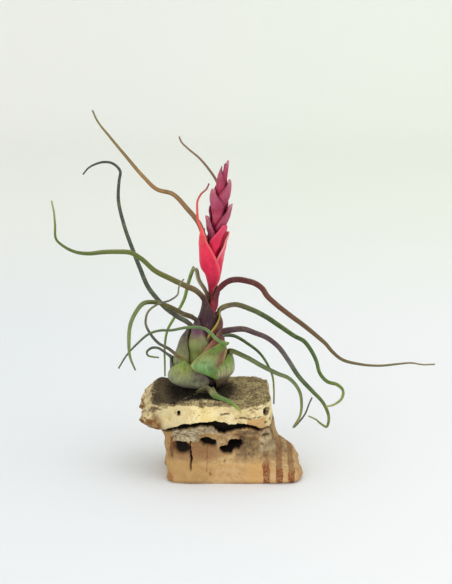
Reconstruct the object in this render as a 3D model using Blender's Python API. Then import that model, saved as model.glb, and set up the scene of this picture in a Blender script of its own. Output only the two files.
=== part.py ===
"""A bulbous air plant in flower, resting in the hollow top of a chunk of cork bark.

One stem carries every leaf and bract. Each of them starts as a scale that lies on the ones inside it, from the
flower head's tip down to the lowest leaf of the bulb, and the leaves run on as long channelled blades. Lengths
are in millimetres until a mesh is made, azimuths in degrees (0 is +X, -90 the front). The origin is the middle
of the cork's flat underside, +Z is up and the front faces -Y.
"""

import math
from dataclasses import dataclass

import bmesh
import bpy
import numpy as np

MM = 0.001

# Driving dimensions of the scales: clear space under each, thickness at the margins, segments across.
GAP = 0.46
EDGE = 0.62
SCALE_SEGMENTS = 8
BLADE_SEGMENTS = 3

# A blade grows out of its scale over this length, and has rings about this far apart.
LEAD = 3.0
BLEND = 7.0
BLADE_STEP = 4.6

# The stem's centreline as height, x and y, and its radius over height.
AXIS = [(44, -16.4, 0), (54, -16.4, 0), (64, -15.9, 0), (74, -14.0, 0), (82, -12.3, 0), (90, -11.6, 0),
        (100, -11.4, 0), (115, -10.8, 0), (132, -8.7, 0), (145, -6.7, 0), (162, -4.3, 0)]
STEM_RADIUS = [(45, 5.5), (46.2, 9.2), (48, 10.8), (51, 10.8), (55, 9.2), (60, 7.0), (66, 5.0), (72, 2.8),
               (79, 1.2), (86, 0.9), (96, 0.9), (104, 1.1), (115, 1.2), (140, 0.8), (158, 0.5)]

# The grid that keeps the outermost surface so far, as radius over azimuth and height.
GRID_AZIMUTHS = 120
GRID_HEIGHTS = np.linspace(44.0, 164.0, 481)
GRID_REACH = (6, 8)

# The cork's side contours: height, middle x and y, half length, half depth, squareness.
CORK_LEVELS = [
    (0, -1.2, -2, 32.8, 21.0, 8.0), (1.0, -1.0, -2, 34.0, 22.0, 8.0), (4, -1.2, -2, 33.8, 22.5, 7.0),
    (8, -2.0, -2, 33.0, 22.5, 6.0), (11, -3.5, -2, 31.5, 22.0, 5.0), (14.5, -5.5, -1.5, 29.5, 20.5, 4.2),
    (18.5, -6.8, -1, 28.0, 17.5, 3.6), (22.5, -8.5, -1, 28.5, 16.5, 3.4), (26.5, -12, -1.5, 31.0, 20.0, 3.6),
    (29.5, -14.4, -2, 33.0, 22.8, 4.4), (34, -14.4, -2.5, 32.9, 23.5, 5.0), (38.5, -13.6, -3, 31.9, 22.8, 4.6),
    (42.5, -12.6, -3.2, 30.4, 21.6, 4.2),
]
CORK_POINTS = 44
CORK_TOP_SHARES = (0.93, 0.84, 0.72, 0.58, 0.42, 0.22)
CORK_FLOOR = 43.2
CORK_RISES = [(-17.5, 0, 9, 9, 2.5), (-37, 6, 5, 9, 3.2), (7, 6, 13, 11, 2.0), (-12, -23, 17, 5, 1.8),
              (14, -25, 15, 17, -4.8), (-41, -19, 12, 12, -6.0)]
CORK_WAVES = [(34.0, 0.8), (17.0, 0.7), (9.0, 0.45)]

# Greatest height of the cork under the bulb over the distance from the bulb's middle.
BULB_SEAT = [(0, 44.5), (4, 44.5), (9, 44.6), (12, 44.6), (15, 45.1), (18, 46.4), (21, 48.6), (30, 55)]

CRIMSON = (0.40, 0.03, 0.06)
MAUVE = (0.33, 0.06, 0.10)
SCARLET = (0.72, 0.05, 0.09)
MAROON = (0.13, 0.05, 0.04)
OLIVE = (0.16, 0.17, 0.06)
GREEN = (0.10, 0.17, 0.05)
PALE_GREEN = (0.27, 0.31, 0.17)
PURPLE = (0.12, 0.07, 0.08)
CORK = (0.42, 0.28, 0.15)


@dataclass
class Leaf:
    """A leaf or bract: where its scale sits on the stem, and the width and route of its blade.

    reach is the scale's lowest and highest height, turn its azimuth at foot and top, sway how many degrees its
    middle swings aside between them, wide its greatest half width in degrees, shape the share of it at foot,
    widest and top, peak how far up it is widest, bulge how far its middle stands off, lift how far its tip
    does. width lists (share of the blade, width) rows and route the blade's own points.
    """

    name: str
    colour: tuple
    reach: tuple
    turn: tuple
    wide: float
    bulge: float = 0.0
    lift: float = 0.0
    shape: tuple = (0.6, 1.0, 0.1)
    crest: float = 0.25
    width: tuple = ()
    route: tuple = ()
    sway: float = 0.0
    peak: float = 0.35


# The layers in the order in which they are laid on the stem, the innermost first.
BRACTS = [
    Leaf("floral_bract_01", MAUVE, (144, 160), (-60, -35), 105, 0.2, 0.1, (0.6, 1.0, 0.16), 0.1),
    Leaf("floral_bract_02", MAUVE, (140, 157), (-150, -165), 100, 0.2, 0.2, (0.6, 1.0, 0.16), 0.1),
    Leaf("floral_bract_03", MAUVE, (136, 152), (80, 90), 95, 0.1, 0.2, (0.6, 1.0, 0.16), 0.1),
    Leaf("floral_bract_04", MAUVE, (130, 150.5), (-38, -15), 105, 0.5, 0.3, (0.6, 1.0, 0.16), 0.15),
    Leaf("floral_bract_05", MAUVE, (126, 146), (-140, -155), 100, 0.4, 0.2, (0.6, 1.0, 0.16), 0.15),
    Leaf("floral_bract_06", MAUVE, (124, 142), (90, 80), 85, 0.1, 0.2, (0.6, 1.0, 0.16), 0.1),
    Leaf("floral_bract_07", CRIMSON, (118, 138), (-18, 0), 85, 0.6, 0.4, (0.6, 1.0, 0.16), 0.1),
    Leaf("floral_bract_08", CRIMSON, (114, 132.5), (-140, -165), 75, 0.2, 0.4, (0.6, 1.0, 0.16), 0.1),
    Leaf("scape_bract_front", SCARLET, (99, 128.5), (-78, -50), 88, 0.6, 0.1, (0.4, 1.0, 0.12), 0.1),
    Leaf("scape_bract_back", CRIMSON, (104, 125), (105, 100), 75, 0.3, 0.3, crest=0.1),
    Leaf("scape_bract_left", CRIMSON, (106, 125.5), (178, 175), 50, 0.2, 0.2, (0.6, 1.0, 0.3), crest=0.1),
    Leaf("scape_bract_right", SCARLET, (96, 124), (0, 8), 80, 1.1, 0.3, (0.4, 1.0, 0.12), crest=0.15),
    Leaf("scape_bract_tailed", SCARLET, (93, 125), (-112, -160), 80, 0.7, 0.1, (0.6, 1.0, 0.2), 0.2,
         ((0, 1.5), (0.5, 1.1), (1, 0.8)),
         ((-18.1, -1.2, 130), (-18.6, -1.4, 136), (-18.4, -1.8, 140), (-16.6, -2.2, 143.6),
          (-14.0, -2.8, 146.2), (-12.7, -3.4, 149))),
]

LEAVES = [
    Leaf("leaf_back_tall", MAROON, (84, 94), (130, 122), 42, 0, 0, (0.7, 1.0, 0.5), 0.2,
         ((0, 2.4), (0.3, 2.6), (0.7, 1.7), (1, 0.8)),
         ((-13.6, 7.5, 103.5), (-15, 10.5, 115.5), (-18, 13, 125), (-24.5, 15, 133), (-31.5, 18, 139.5),
          (-39.5, 20, 141.5), (-46, 21, 147.5), (-54.5, 22, 157.5), (-62.5, 22, 167.5), (-69, 21, 176.5),
          (-71, 20, 181.5))),
    Leaf("leaf_back_short", MAROON, (86, 96), (40, 52), 40, 0, 0, (0.7, 1.0, 0.5), 0.2,
         ((0, 1.9), (0.4, 1.7), (1, 0.8)),
         ((-7.6, 7.5, 104.5), (-6.2, 11, 120.5), (-6.5, 14, 135), (-8.5, 16, 145), (-13, 18, 152),
          (-18.5, 20, 158), (-23.5, 21, 162), (-27, 22, 165.5), (-28, 22, 168))),
    Leaf("leaf_right_long", MAROON, (73, 94), (-70, -18), 125, 0, 0, (0.7, 1.0, 0.24), 0.25,
         ((0, 3.2), (0.15, 3.3), (0.45, 2.6), (0.72, 1.3), (1, 0.7)),
         ((-2.5, -3, 100.5), (1, -3, 101), (5.5, -3.5, 100.5), (10.5, -4, 99), (14, -5, 96.5), (16, -6, 93.5),
          (20, -8, 90), (27, -11, 85), (34.5, -14, 80), (41.5, -16, 74.5), (45, -17, 71.5), (48, -18, 68),
          (52.5, -18, 64), (61.5, -17, 61), (72, -15, 59.5), (82, -12, 59.5), (88.5, -9, 59), (94, -7, 57.5),
          (100.5, -5, 57))),
    Leaf("leaf_back_hanging", GREEN, (77, 92), (150, 145), 85, 0, 0, (0.7, 1.0, 0.3), 0.2,
         ((0, 2.0), (0.3, 2.0), (0.7, 1.4), (1, 0.8)),
         ((-18.5, 8, 98.5), (-19.4, 10.5, 102), (-20.5, 13, 102.5), (-21.8, 15, 99.5), (-23.5, 17, 94),
          (-26, 20, 84), (-31, 23.5, 73.5), (-35, 25.5, 65.5), (-36.5, 26, 55.5), (-36.5, 26, 47),
          (-36.5, 26, 40.5))),
    Leaf("leaf_left_long", OLIVE, (66, 89), (-115, -150), 125, 0.2, 0, (0.7, 1.0, 0.24), 0.3,
         ((0, 3.2), (0.3, 2.8), (0.6, 2.2), (0.8, 1.4), (1, 0.8)),
         ((-18.5, -6, 95.5), (-24.5, -8, 99), (-31.5, -10, 103), (-39, -12, 107.5), (-45.5, -14, 114),
          (-50.5, -16, 117.5), (-57.5, -18, 118.5), (-64, -21, 119), (-70.5, -24, 119), (-76.5, -27, 120.5),
          (-81.5, -29, 123.5), (-85, -30, 127), (-85.5, -31, 135), (-86, -31, 141.5), (-87, -30, 146))),
    Leaf("leaf_right_arched", GREEN, (61, 83), (25, 18), 115, 0.8, 0, (0.7, 1.0, 0.26), 0.3,
         ((0, 3.0), (0.35, 2.6), (0.65, 2.0), (0.85, 1.5), (1, 0.8)),
         ((-1.5, 6, 85.5), (8.5, 9, 82), (16, 11, 77.5), (23.5, 12, 72), (31, 13, 66.5), (35.5, 13, 64),
          (39, 11, 60), (42, 8, 54.5), (43.5, 4, 49.5), (47, -1, 46.5), (52, -5, 46), (54.5, -9, 44.5),
          (53.5, -14, 42), (49.5, -19, 40.5), (45, -24, 41))),
    Leaf("leaf_left_hooked", OLIVE, (53, 79), (-132, -148), 80, 0.9, 0, (0.6, 1.0, 0.26), 0.3,
         ((0, 2.9), (0.4, 2.2), (0.8, 1.8), (1, 0.8)),
         ((-26, -9, 85), (-32, -11.5, 89), (-38.5, -14.5, 92), (-44, -19, 93), (-47.5, -26, 91),
          (-50.5, -33, 85.5), (-51, -38, 78.5), (-50.5, -40, 72), (-48, -40, 65))),
    Leaf("leaf_left_upright", PURPLE, (51, 75), (180, 166), 58, 2.9, 0, (0.6, 1.0, 0.26), 0.3,
         ((0, 2.9), (0.3, 2.6), (0.65, 2.0), (0.85, 1.4), (1, 0.7)),
         ((-29.5, 6.5, 79.5), (-34.5, 7.5, 83), (-39, 9, 87.5), (-43.5, 11, 93), (-47.5, 13, 102),
          (-51.5, 15, 112), (-56, 17, 125), (-58.5, 19, 137), (-58, 20, 146), (-57.5, 21, 150.5),
          (-61.5, 22, 154.5), (-65.5, 23, 155), (-69.5, 24, 154), (-74, 25, 151.5), (-77, 26, 148))),
    Leaf("leaf_right_back", GREEN, (52, 66), (60, 50), 75, 0.5, 0, (0.7, 1.0, 0.26), 0.2,
         ((0, 2.2), (0.5, 1.5), (1, 0.8)),
         ((-1, 14, 66.5), (7.5, 14.5, 61.5), (13, 14, 57), (16.8, 13.5, 51.5), (19.6, 13, 45),
          (20.4, 12.5, 37), (20.4, 12, 30))),
    Leaf("leaf_right_folded", PURPLE, (53, 73), (-42, -42), 58, 1.4, 0, (0.6, 1.0, 0.34), 0.3,
         ((0, 3.3), (0.3, 2.6), (0.6, 2.2), (0.82, 1.3), (1, 0.7)),
         ((-0.5, -8.5, 76.5), (4.5, -9.5, 77), (10, -11, 75.5), (15.5, -12, 73.5), (21, -13, 69.5),
          (27, -14, 61.5), (31.5, -15, 54.5), (39, -17, 46.5), (43.5, -17, 41.5), (46, -16, 36.5),
          (47, -15, 32.5), (46, -13, 26.5), (43, -15.5, 29), (40, -18.5, 32.5), (36.5, -21, 35))),
    Leaf("leaf_left_curl", PURPLE, (48, 58), (160, 172), 60, 0.2, 0, (0.7, 1.0, 0.3), 0.2,
         ((0, 1.8), (0.5, 1.4), (1, 0.8)),
         ((-36, 6, 60.5), (-38.5, 8, 61.5), (-42.5, 10, 61), (-45, 11, 58.5), (-44.5, 12.5, 56),
          (-42, 13.5, 55), (-39, 14, 54.5))),
    Leaf("leaf_right_low", GREEN, (46, 62), (0, -4), 64, 1.7, 0, (0.8, 1.0, 0.5), 0.3,
         ((0, 2.6), (0.35, 2.2), (0.7, 1.2), (1, 0.7)),
         ((5.5, -6, 61), (13, -10.5, 58), (21.5, -15, 55), (26.5, -17, 53.5), (29.5, -18, 51), (32, -19, 47),
          (33, -19, 41), (32.5, -17, 34), (29.5, -14, 26.5), (32.5, -11, 28.5), (35.5, -9, 32),
          (37.5, -8, 37), (39, -7, 40)),
         0.0, 0.45),
    Leaf("leaf_front_curly", OLIVE, (45.9, 60.5), (-138, -130), 54, 1.8, 0, (0.85, 1.0, 0.1), 0.3,
         ((0, 2.4), (0.25, 1.7), (0.6, 1.1), (1, 0.7)),
         ((-28.5, -19, 66), (-32.5, -22, 70.5), (-37.5, -24, 74), (-41, -25, 78.5), (-43.5, -26, 85),
          (-42.5, -25, 89.5), (-37, -23, 93.5), (-31.5, -22, 95), (-27.8, -21, 98), (-27.5, -20, 100.5),
          (-26.5, -19, 103), (-25, -18, 104.5)),
         12.0, 0.12),
    Leaf("leaf_front_crossing", PALE_GREEN, (52.3, 69.5), (-64, -46), 29, 0.9, 0, (0.12, 1.0, 0.6), 0.3,
         ((0, 2.6), (0.1, 2.2), (0.5, 1.5), (1, 0.8)),
         ((-4.2, -15.6, 71.3), (-6.4, -17.3, 72.5), (-9.2, -18, 74.4), (-11.6, -18.3, 77.2), (-14.4, -18.8, 79.6),
          (-18.5, -19.6, 80.8), (-24, -21, 81), (-31.5, -24, 80.5), (-36.5, -26, 81), (-41.5, -28, 80),
          (-48, -30, 75), (-52.5, -30, 70), (-57, -29, 62.5)),
         -24.0, 0.5),
    Leaf("leaf_front_low", GREEN, (44.6, 48.2), (-84, -78), 20, 0.0, 0, (0.9, 1.0, 0.8), 0.1,
         ((0, 3.6), (0.42, 3.4), (0.56, 2.3), (0.85, 1.9), (1, 1.0)),
         ((-9.5, -21.4, 46.2), (-7.6, -22.8, 45.8), (-5.4, -24.4, 45.4), (-2.8, -26, 44.7), (-0.2, -27.4, 43.3),
          (1.6, -28.1, 41.7), (2.6, -28.3, 40.4), (3.0, -28.3, 39.4))),
]


def along(table, places):
    """Values of a table of (place, value, ...) rows at the given places, joined by smooth cubics."""
    rows = np.array(table, float)
    knots = rows[:, 0]
    values = rows[:, 1:]
    slopes = np.gradient(values, knots, axis=0)
    places = np.clip(np.atleast_1d(places), knots[0], knots[-1])
    index = np.clip(np.searchsorted(knots, places, side="right") - 1, 0, len(knots) - 2)
    span = (knots[index + 1] - knots[index])[:, None]
    t = (places - knots[index])[:, None] / span
    start = (1 + 2 * t) * (1 - t) ** 2 * values[index] + t * (1 - t) ** 2 * span * slopes[index]
    end = t ** 2 * (3 - 2 * t) * values[index + 1] + t ** 2 * (t - 1) * span * slopes[index + 1]
    return start + end


def ease(t):
    """A smooth step from 0 to 1."""
    t = np.clip(t, 0.0, 1.0)
    return t * t * (3 - 2 * t)


def on_stem(azimuths, heights, radii):
    """Points at the given azimuths (degrees), heights and radii round the stem's centreline."""
    centres = along(AXIS, heights)
    angles = np.radians(azimuths)
    x = centres[:, 0] + radii * np.cos(angles)
    y = centres[:, 1] + radii * np.sin(angles)
    return np.stack([x, y, np.broadcast_to(heights, x.shape)], axis=1)


def round_stem(points, near):
    """Azimuths (within half a turn of near), heights and radii of points, the reverse of on_stem."""
    out = points[:, :2] - along(AXIS, points[:, 2])
    azimuths = np.degrees(np.arctan2(out[:, 1], out[:, 0]))
    azimuths = near + np.mod(azimuths - near + 180.0, 360.0) - 180.0
    return np.stack([azimuths, points[:, 2], np.hypot(out[:, 0], out[:, 1])], axis=1)


def between(first, second, share, near):
    """Points part of the way from one row to another, going round the stem rather than through it."""
    places = round_stem(first, near) * (1 - share) + round_stem(second, near) * share
    return on_stem(places[:, 0], places[:, 1], places[:, 2])


def shifted_all(grid, reach, axis, combine):
    """A grid combined with its own copies shifted by up to reach cells along one axis."""
    result = grid.copy()
    for shift in range(1, reach + 1):
        for step in (shift, -shift):
            moved = np.roll(grid, step, axis)
            if axis == 1 and step > 0:
                moved[:, :step] = grid[:, :1]
            if axis == 1 and step < 0:
                moved[:, step:] = grid[:, -1:]
            result = combine(result, moved)
    return result


class Layers:
    """The outermost surface of the plant so far, as a radius for every azimuth and height."""

    def __init__(self):
        self.azimuths = np.arange(GRID_AZIMUTHS) * 360.0 / GRID_AZIMUTHS
        stem = along(STEM_RADIUS, GRID_HEIGHTS)[:, 0]
        self.radii = np.tile(stem, (GRID_AZIMUTHS, 1))
        self.smooth = self.radii

    def settle(self):
        """Smooths the surface without letting it sink below itself anywhere."""
        grid = self.radii
        for axis, reach in enumerate(GRID_REACH):
            grid = shifted_all(grid, reach, axis, np.maximum)
        for axis, reach in enumerate(GRID_REACH):
            for _ in range(2):
                grid = shifted_all(grid, reach // 2, axis, np.add) / (2 * (reach // 2) + 1)
        self.smooth = grid

    def radius(self, azimuths, heights):
        """The smoothed radius at each azimuth and height."""
        column = np.mod(azimuths, 360.0) * GRID_AZIMUTHS / 360.0
        row = np.clip((heights - GRID_HEIGHTS[0]) / (GRID_HEIGHTS[1] - GRID_HEIGHTS[0]), 0,
                      len(GRID_HEIGHTS) - 1.001)
        left = np.floor(column).astype(int)
        low = np.floor(row).astype(int)
        across = column - left
        up = row - low
        left = left % GRID_AZIMUTHS
        right = (left + 1) % GRID_AZIMUTHS
        below = self.smooth[left, low] * (1 - across) + self.smooth[right, low] * across
        above = self.smooth[left, low + 1] * (1 - across) + self.smooth[right, low + 1] * across
        return below * (1 - up) + above * up

    def cover(self, leaf):
        """Raises the surface to the outer side of a leaf's scale."""
        azimuths, heights = np.meshgrid(self.azimuths, GRID_HEIGHTS, indexing="ij")
        centre = turn_at(leaf, heights)
        offset = np.mod(azimuths - centre + 180.0, 360.0) - 180.0
        across = offset / half_width(leaf, heights)
        inside = (np.abs(across) <= 1.05) & (heights >= leaf.reach[0]) & (heights <= leaf.reach[1])
        outer = scale_radii(self, leaf, azimuths, heights, np.clip(across, -1, 1))[1]
        self.radii = np.where(inside, np.maximum(self.radii, outer), self.radii)

    def cover_points(self, points):
        """Raises the surface round loose points that are still close to it."""
        azimuths, heights, radii = round_stem(points, 0.0).T
        columns = np.round(azimuths * GRID_AZIMUTHS / 360.0).astype(int)
        rows = np.round((heights - GRID_HEIGHTS[0]) / (GRID_HEIGHTS[1] - GRID_HEIGHTS[0])).astype(int)
        for radius, column, row in zip(radii, columns % GRID_AZIMUTHS, rows):
            if 0 <= row < len(GRID_HEIGHTS) and radius < self.radii[column, row] + 4.5:
                self.radii[column, row] = max(self.radii[column, row], radius)


def share_up(leaf, heights):
    """How far up its scale each height is, from 0 to 1."""
    return np.clip((heights - leaf.reach[0]) / (leaf.reach[1] - leaf.reach[0]), 0, 1)


def turn_at(leaf, heights):
    """The azimuth of the scale's midrib at each height."""
    up = share_up(leaf, heights)
    return leaf.turn[0] + (leaf.turn[1] - leaf.turn[0]) * ease(up) + leaf.sway * np.sin(np.pi * up)


def half_width(leaf, heights):
    """The scale's half width in degrees: broad above its foot, drawn in towards its top."""
    up = share_up(leaf, heights)
    foot, widest, top = leaf.shape
    growing = foot + (widest - foot) * ease(up / leaf.peak)
    shrinking = top + (widest - top) * (1 - np.clip((up - leaf.peak) / (1 - leaf.peak), 0, 1) ** 1.7)
    return leaf.wide * np.where(up < leaf.peak, growing, shrinking)


def scale_radii(layers, leaf, azimuths, heights, across):
    """Radius of a scale's inner and outer side at each azimuth, height and place across it."""
    up = share_up(leaf, heights)
    middle = 1 - across ** 2
    slack = 1 / np.cos(np.radians(half_width(leaf, heights)) / SCALE_SEGMENTS)
    stand = leaf.bulge * np.sin(np.pi * up) ** 0.8 * middle + leaf.lift * up ** 4
    inner = (layers.radius(azimuths, heights) + GAP + stand) * slack
    return inner, inner + EDGE + leaf.crest * middle


def scale_rows(layers, leaf, height, segments):
    """One ring of a scale as two rows of points, along its inner and its outer side."""
    across = np.linspace(-1, 1, segments + 1)
    heights = np.full(across.shape, float(height))
    azimuths = turn_at(leaf, heights) + across * half_width(leaf, heights)
    inner, outer = scale_radii(layers, leaf, azimuths, heights, across)
    return on_stem(azimuths, heights, inner), on_stem(azimuths, heights, outer)


def scale_middle(layers, leaf, height):
    """The middle of a scale's ring at one height."""
    inner, outer = scale_rows(layers, leaf, height, SCALE_SEGMENTS)
    return (inner[SCALE_SEGMENTS // 2] + outer[SCALE_SEGMENTS // 2]) / 2


def blade_line(points, step):
    """Centres, tangents and places (mm from the start) of a blade's rings, closer together in its bends."""
    points = np.array(points, float)
    chord = np.concatenate([[0], np.cumsum(np.linalg.norm(np.diff(points, axis=0), axis=1))])
    dense = along(np.column_stack([chord, points]), np.linspace(0, chord[-1], 900))
    length = np.concatenate([[0], np.cumsum(np.linalg.norm(np.diff(dense, axis=0), axis=1))])
    tangent = np.gradient(dense, length, axis=0)
    tangent /= np.linalg.norm(tangent, axis=1)[:, None]
    bend = np.linalg.norm(np.gradient(tangent, length, axis=0), axis=1)
    weight = np.clip(0.55 + 5.5 * bend, 0.55, 2.6) / step
    count = np.concatenate([[0], np.cumsum((weight[1:] + weight[:-1]) / 2 * np.diff(length))])
    wanted = np.linspace(0, count[-1], max(int(round(count[-1])), 6) + 1)
    places = np.interp(wanted, count, length)
    centres = np.stack([np.interp(places, length, dense[:, i]) for i in range(3)], axis=1)
    tangents = np.stack([np.interp(places, length, tangent[:, i]) for i in range(3)], axis=1)
    return centres, tangents / np.linalg.norm(tangents, axis=1)[:, None], places


def carried_normals(tangents, first):
    """A normal for every tangent, carried along the line without spinning round it."""
    normals = []
    normal = first
    for tangent in tangents:
        normal = normal - tangent * np.dot(normal, tangent)
        normal = normal / np.linalg.norm(normal)
        normals.append(normal)
    return np.array(normals)


def blade_rows(centre, tangent, normal, width, segments):
    """One ring of a blade: its hollowed upper row and its rounded under row."""
    side = np.cross(normal, tangent)
    across = np.linspace(-1, 1, segments + 1)
    depth = max(0.78 * width, 0.62)
    hollow = max(min(0.30 * width, depth - 0.7), 0.0)
    upper = 0.32 * depth - hollow * (1 - across ** 2)
    angle = across * math.pi * 0.42
    under = 0.32 * depth - depth * (np.cos(angle) - math.cos(math.pi * 0.42)) / (1 - math.cos(math.pi * 0.42))
    reach = 0.5 * width * np.sin(angle) / math.sin(math.pi * 0.42)
    under = under - 0.12 * depth
    top_row = centre + np.outer(reach * 0.97, side) + np.outer(upper, normal)
    under_row = centre + np.outer(reach, side) + np.outer(under, normal)
    return top_row, under_row


def leaf_rings(layers, leaf):
    """Every ring of a leaf or bract from its foot to its tip, each as an inner and an outer row."""
    low, high = leaf.reach
    top = high - LEAD if leaf.route else high
    count = max(5, int((top - low) / 3.0) + 1)
    heights = low + (top - low) * np.linspace(0, 1, count) ** 1.15
    rings = [scale_rows(layers, leaf, height, SCALE_SEGMENTS) for height in heights]
    if not leaf.route:
        return rings, []
    starts = [scale_middle(layers, leaf, top - 1.5), scale_middle(layers, leaf, top)]
    starts.append(scale_middle(layers, leaf, high))
    centres, tangents, places = blade_line(starts + list(leaf.route), BLADE_STEP)
    inward = np.append(along(AXIS, top)[0] - starts[1][:2], 0.0)
    normals = carried_normals(tangents, inward)
    offset = np.linalg.norm(starts[1] - starts[0])
    length = places[-1]
    blend_places = offset + np.array([1.4, 2.9, 4.6, 6.5])
    widths = np.array(leaf.width)
    blades = []
    for place in blend_places:
        index = np.interp(place, places, np.arange(len(places)))
        part = index - math.floor(index)
        i = int(math.floor(index))
        centre = centres[i] * (1 - part) + centres[i + 1] * part
        tangent = tangents[i] * (1 - part) + tangents[i + 1] * part
        tangent = tangent / np.linalg.norm(tangent)
        normal = normals[i] - tangent * np.dot(normals[i], tangent)
        normal = normal / np.linalg.norm(normal)
        width = np.interp(place / length, widths[:, 0], widths[:, 1])
        upper, under = blade_rows(centre, tangent, normal, width, SCALE_SEGMENTS)
        share = ease((place - offset) / BLEND)
        inner, outer = scale_rows(layers, leaf, min(top + (place - offset) * 0.7, high), SCALE_SEGMENTS)
        near = leaf.turn[1]
        rings.append((between(inner, upper, share, near), between(outer, under, share, near)))
    for i, place in enumerate(places):
        if place > offset + BLEND:
            width = np.interp(place / length, widths[:, 0], widths[:, 1])
            blades.append(blade_rows(centres[i], tangents[i], normals[i], width, BLADE_SEGMENTS))
    return rings, blades


def zipped(first, second, flip):
    """Triangles between two rows of vertex numbers that may differ in count."""
    faces = []
    i = 0
    j = 0
    while i < len(first) - 1 or j < len(second) - 1:
        next_i = (i + 1) / (len(first) - 1)
        next_j = (j + 1) / (len(second) - 1)
        if j == len(second) - 1 or (i < len(first) - 1 and next_i <= next_j):
            face = (first[i], first[i + 1], second[j])
            i += 1
        else:
            face = (first[i], second[j + 1], second[j])
            j += 1
        faces.append(face[::-1] if flip else face)
    return faces


def ring_faces(lower, upper):
    """The faces between two rings of inner and outer rows."""
    faces = zipped(lower[0], upper[0], True) + zipped(lower[1], upper[1], False)
    for end in (0, -1):
        quad = (lower[0][end], lower[1][end], upper[1][end], upper[0][end])
        faces.append(quad if end == 0 else quad[::-1])
    return faces


def cap_faces(ring, flip):
    """The strip of faces that closes a ring between its inner and outer row."""
    inner, outer = ring
    faces = []
    for i in range(len(inner) - 1):
        quad = (inner[i], inner[i + 1], outer[i + 1], outer[i])
        faces.append(quad[::-1] if flip else quad)
    return faces


def strip_mesh(rings):
    """Vertices and faces of a closed body from rings of an inner and an outer row."""
    vertices = []
    numbered = []
    for inner, outer in rings:
        start = len(vertices)
        vertices.extend(inner)
        middle = len(vertices)
        vertices.extend(outer)
        numbered.append((list(range(start, middle)), list(range(middle, len(vertices)))))
    faces = cap_faces(numbered[0], True) + cap_faces(numbered[-1], False)
    for lower, upper in zip(numbered, numbered[1:]):
        faces.extend(ring_faces(lower, upper))
    return vertices, faces


def lathe_mesh(loops, bottom, top):
    """Vertices and faces of a closed body from round loops of equal count and two end points."""
    count = len(loops[0])
    vertices = [bottom]
    for loop in loops:
        vertices.extend(loop)
    vertices.append(top)
    faces = []
    last = len(vertices) - 1
    for i in range(count):
        j = (i + 1) % count
        faces.append((0, 1 + j, 1 + i))
        faces.append((last, last - count + i, last - count + j))
        for level in range(len(loops) - 1):
            base = 1 + level * count
            faces.append((base + i, base + j, base + count + j, base + count + i))
    return vertices, faces


def material(name, colour, roughness):
    """A plain surface material."""
    surface = bpy.data.materials.new(name)
    surface.use_nodes = True
    shader = surface.node_tree.nodes["Principled BSDF"]
    shader.inputs["Base Color"].default_value = (*colour, 1.0)
    shader.inputs["Roughness"].default_value = roughness
    shader.inputs["Metallic"].default_value = 0.0
    return surface


def add_object(name, vertices, faces, colour, roughness):
    """One closed body as an object with its own material, its faces turned outwards."""
    mesh = bpy.data.meshes.new(name)
    mesh.from_pydata([tuple(float(c) * MM for c in v) for v in vertices], [], faces)
    shape = bmesh.new()
    shape.from_mesh(mesh)
    bmesh.ops.recalc_face_normals(shape, faces=shape.faces)
    bmesh.ops.triangulate(shape, faces=shape.faces)
    shape.to_mesh(mesh)
    shape.free()
    mesh.materials.append(material(name, colour, roughness))
    body = bpy.data.objects.new(name, mesh)
    bpy.context.scene.collection.objects.link(body)
    return body


def build_stem():
    """The short bulbous stock inside the leaves and the flower stalk that goes on from it."""
    heights = np.array([45, 46.3, 48.5, 52, 57, 62, 68, 74, 80, 86, 93, 100, 107, 115, 124, 133, 142, 150, 158.0])
    angles = np.arange(12) * 30.0
    loops = []
    for height in heights:
        level = np.full(angles.shape, height)
        loops.append(on_stem(angles, level, np.full(angles.shape, along(STEM_RADIUS, height)[0, 0])))
    bottom = on_stem(np.array([0.0]), np.array([45.0]), np.array([0.0]))[0]
    top = on_stem(np.array([0.0]), np.array([158.6]), np.array([0.0]))[0]
    vertices, faces = lathe_mesh(loops, bottom, top)
    add_object("stem", vertices, faces, (0.35, 0.18, 0.14), 0.6)


def build_leaves():
    """Every bract and leaf, each laid on the ones before it."""
    layers = Layers()
    for leaf in BRACTS + LEAVES:
        layers.settle()
        rings, blades = leaf_rings(layers, leaf)
        vertices, faces = strip_mesh(rings + blades)
        add_object(leaf.name, vertices, faces, leaf.colour, 0.55)
        layers.cover(leaf)
        if leaf.route:
            near = rings[-6:] + blades[:3]
            layers.cover_points(np.concatenate([np.concatenate(ring) for ring in near]))
    return layers


def cork_roughness(points, seed):
    """A repeatable roughness between about -1 and 1 from waves in many directions."""
    waves = np.random.RandomState(seed)
    total = np.zeros(len(points))
    for scale, share in CORK_WAVES:
        for _ in range(5):
            direction = waves.normal(size=3)
            direction = direction / np.linalg.norm(direction) * 2 * math.pi / scale
            total += share * np.sin(points @ direction + waves.uniform(0, 2 * math.pi))
    return total / 3.0


def cork_side(level, azimuths):
    """One contour of the cork's side: a squarish oval with its own middle and half sizes."""
    height, x, y, half_x, half_y, square = level
    c = np.cos(azimuths)
    s = np.sin(azimuths)
    radii = (np.abs(c / half_x) ** square + np.abs(s / half_y) ** square) ** (-1.0 / square)
    return np.stack([x + radii * c, y + radii * s, np.full(c.shape, float(height))], axis=1)


def cork_top(points):
    """Heights of the cork's broken top: a trough for the bulb between a left ridge and a right block."""
    heights = np.full(len(points), CORK_FLOOR)
    for x, y, reach_x, reach_y, rise in CORK_RISES:
        away = ((points[:, 0] - x) / reach_x) ** 2 + ((points[:, 1] - y) / reach_y) ** 2
        heights += rise * np.exp(-away)
    heights += 0.5 * cork_roughness(points, 11)
    from_bulb = np.hypot(points[:, 0] - AXIS[0][1], points[:, 1])
    return np.minimum(heights, along(BULB_SEAT, from_bulb)[:, 0])


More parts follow.
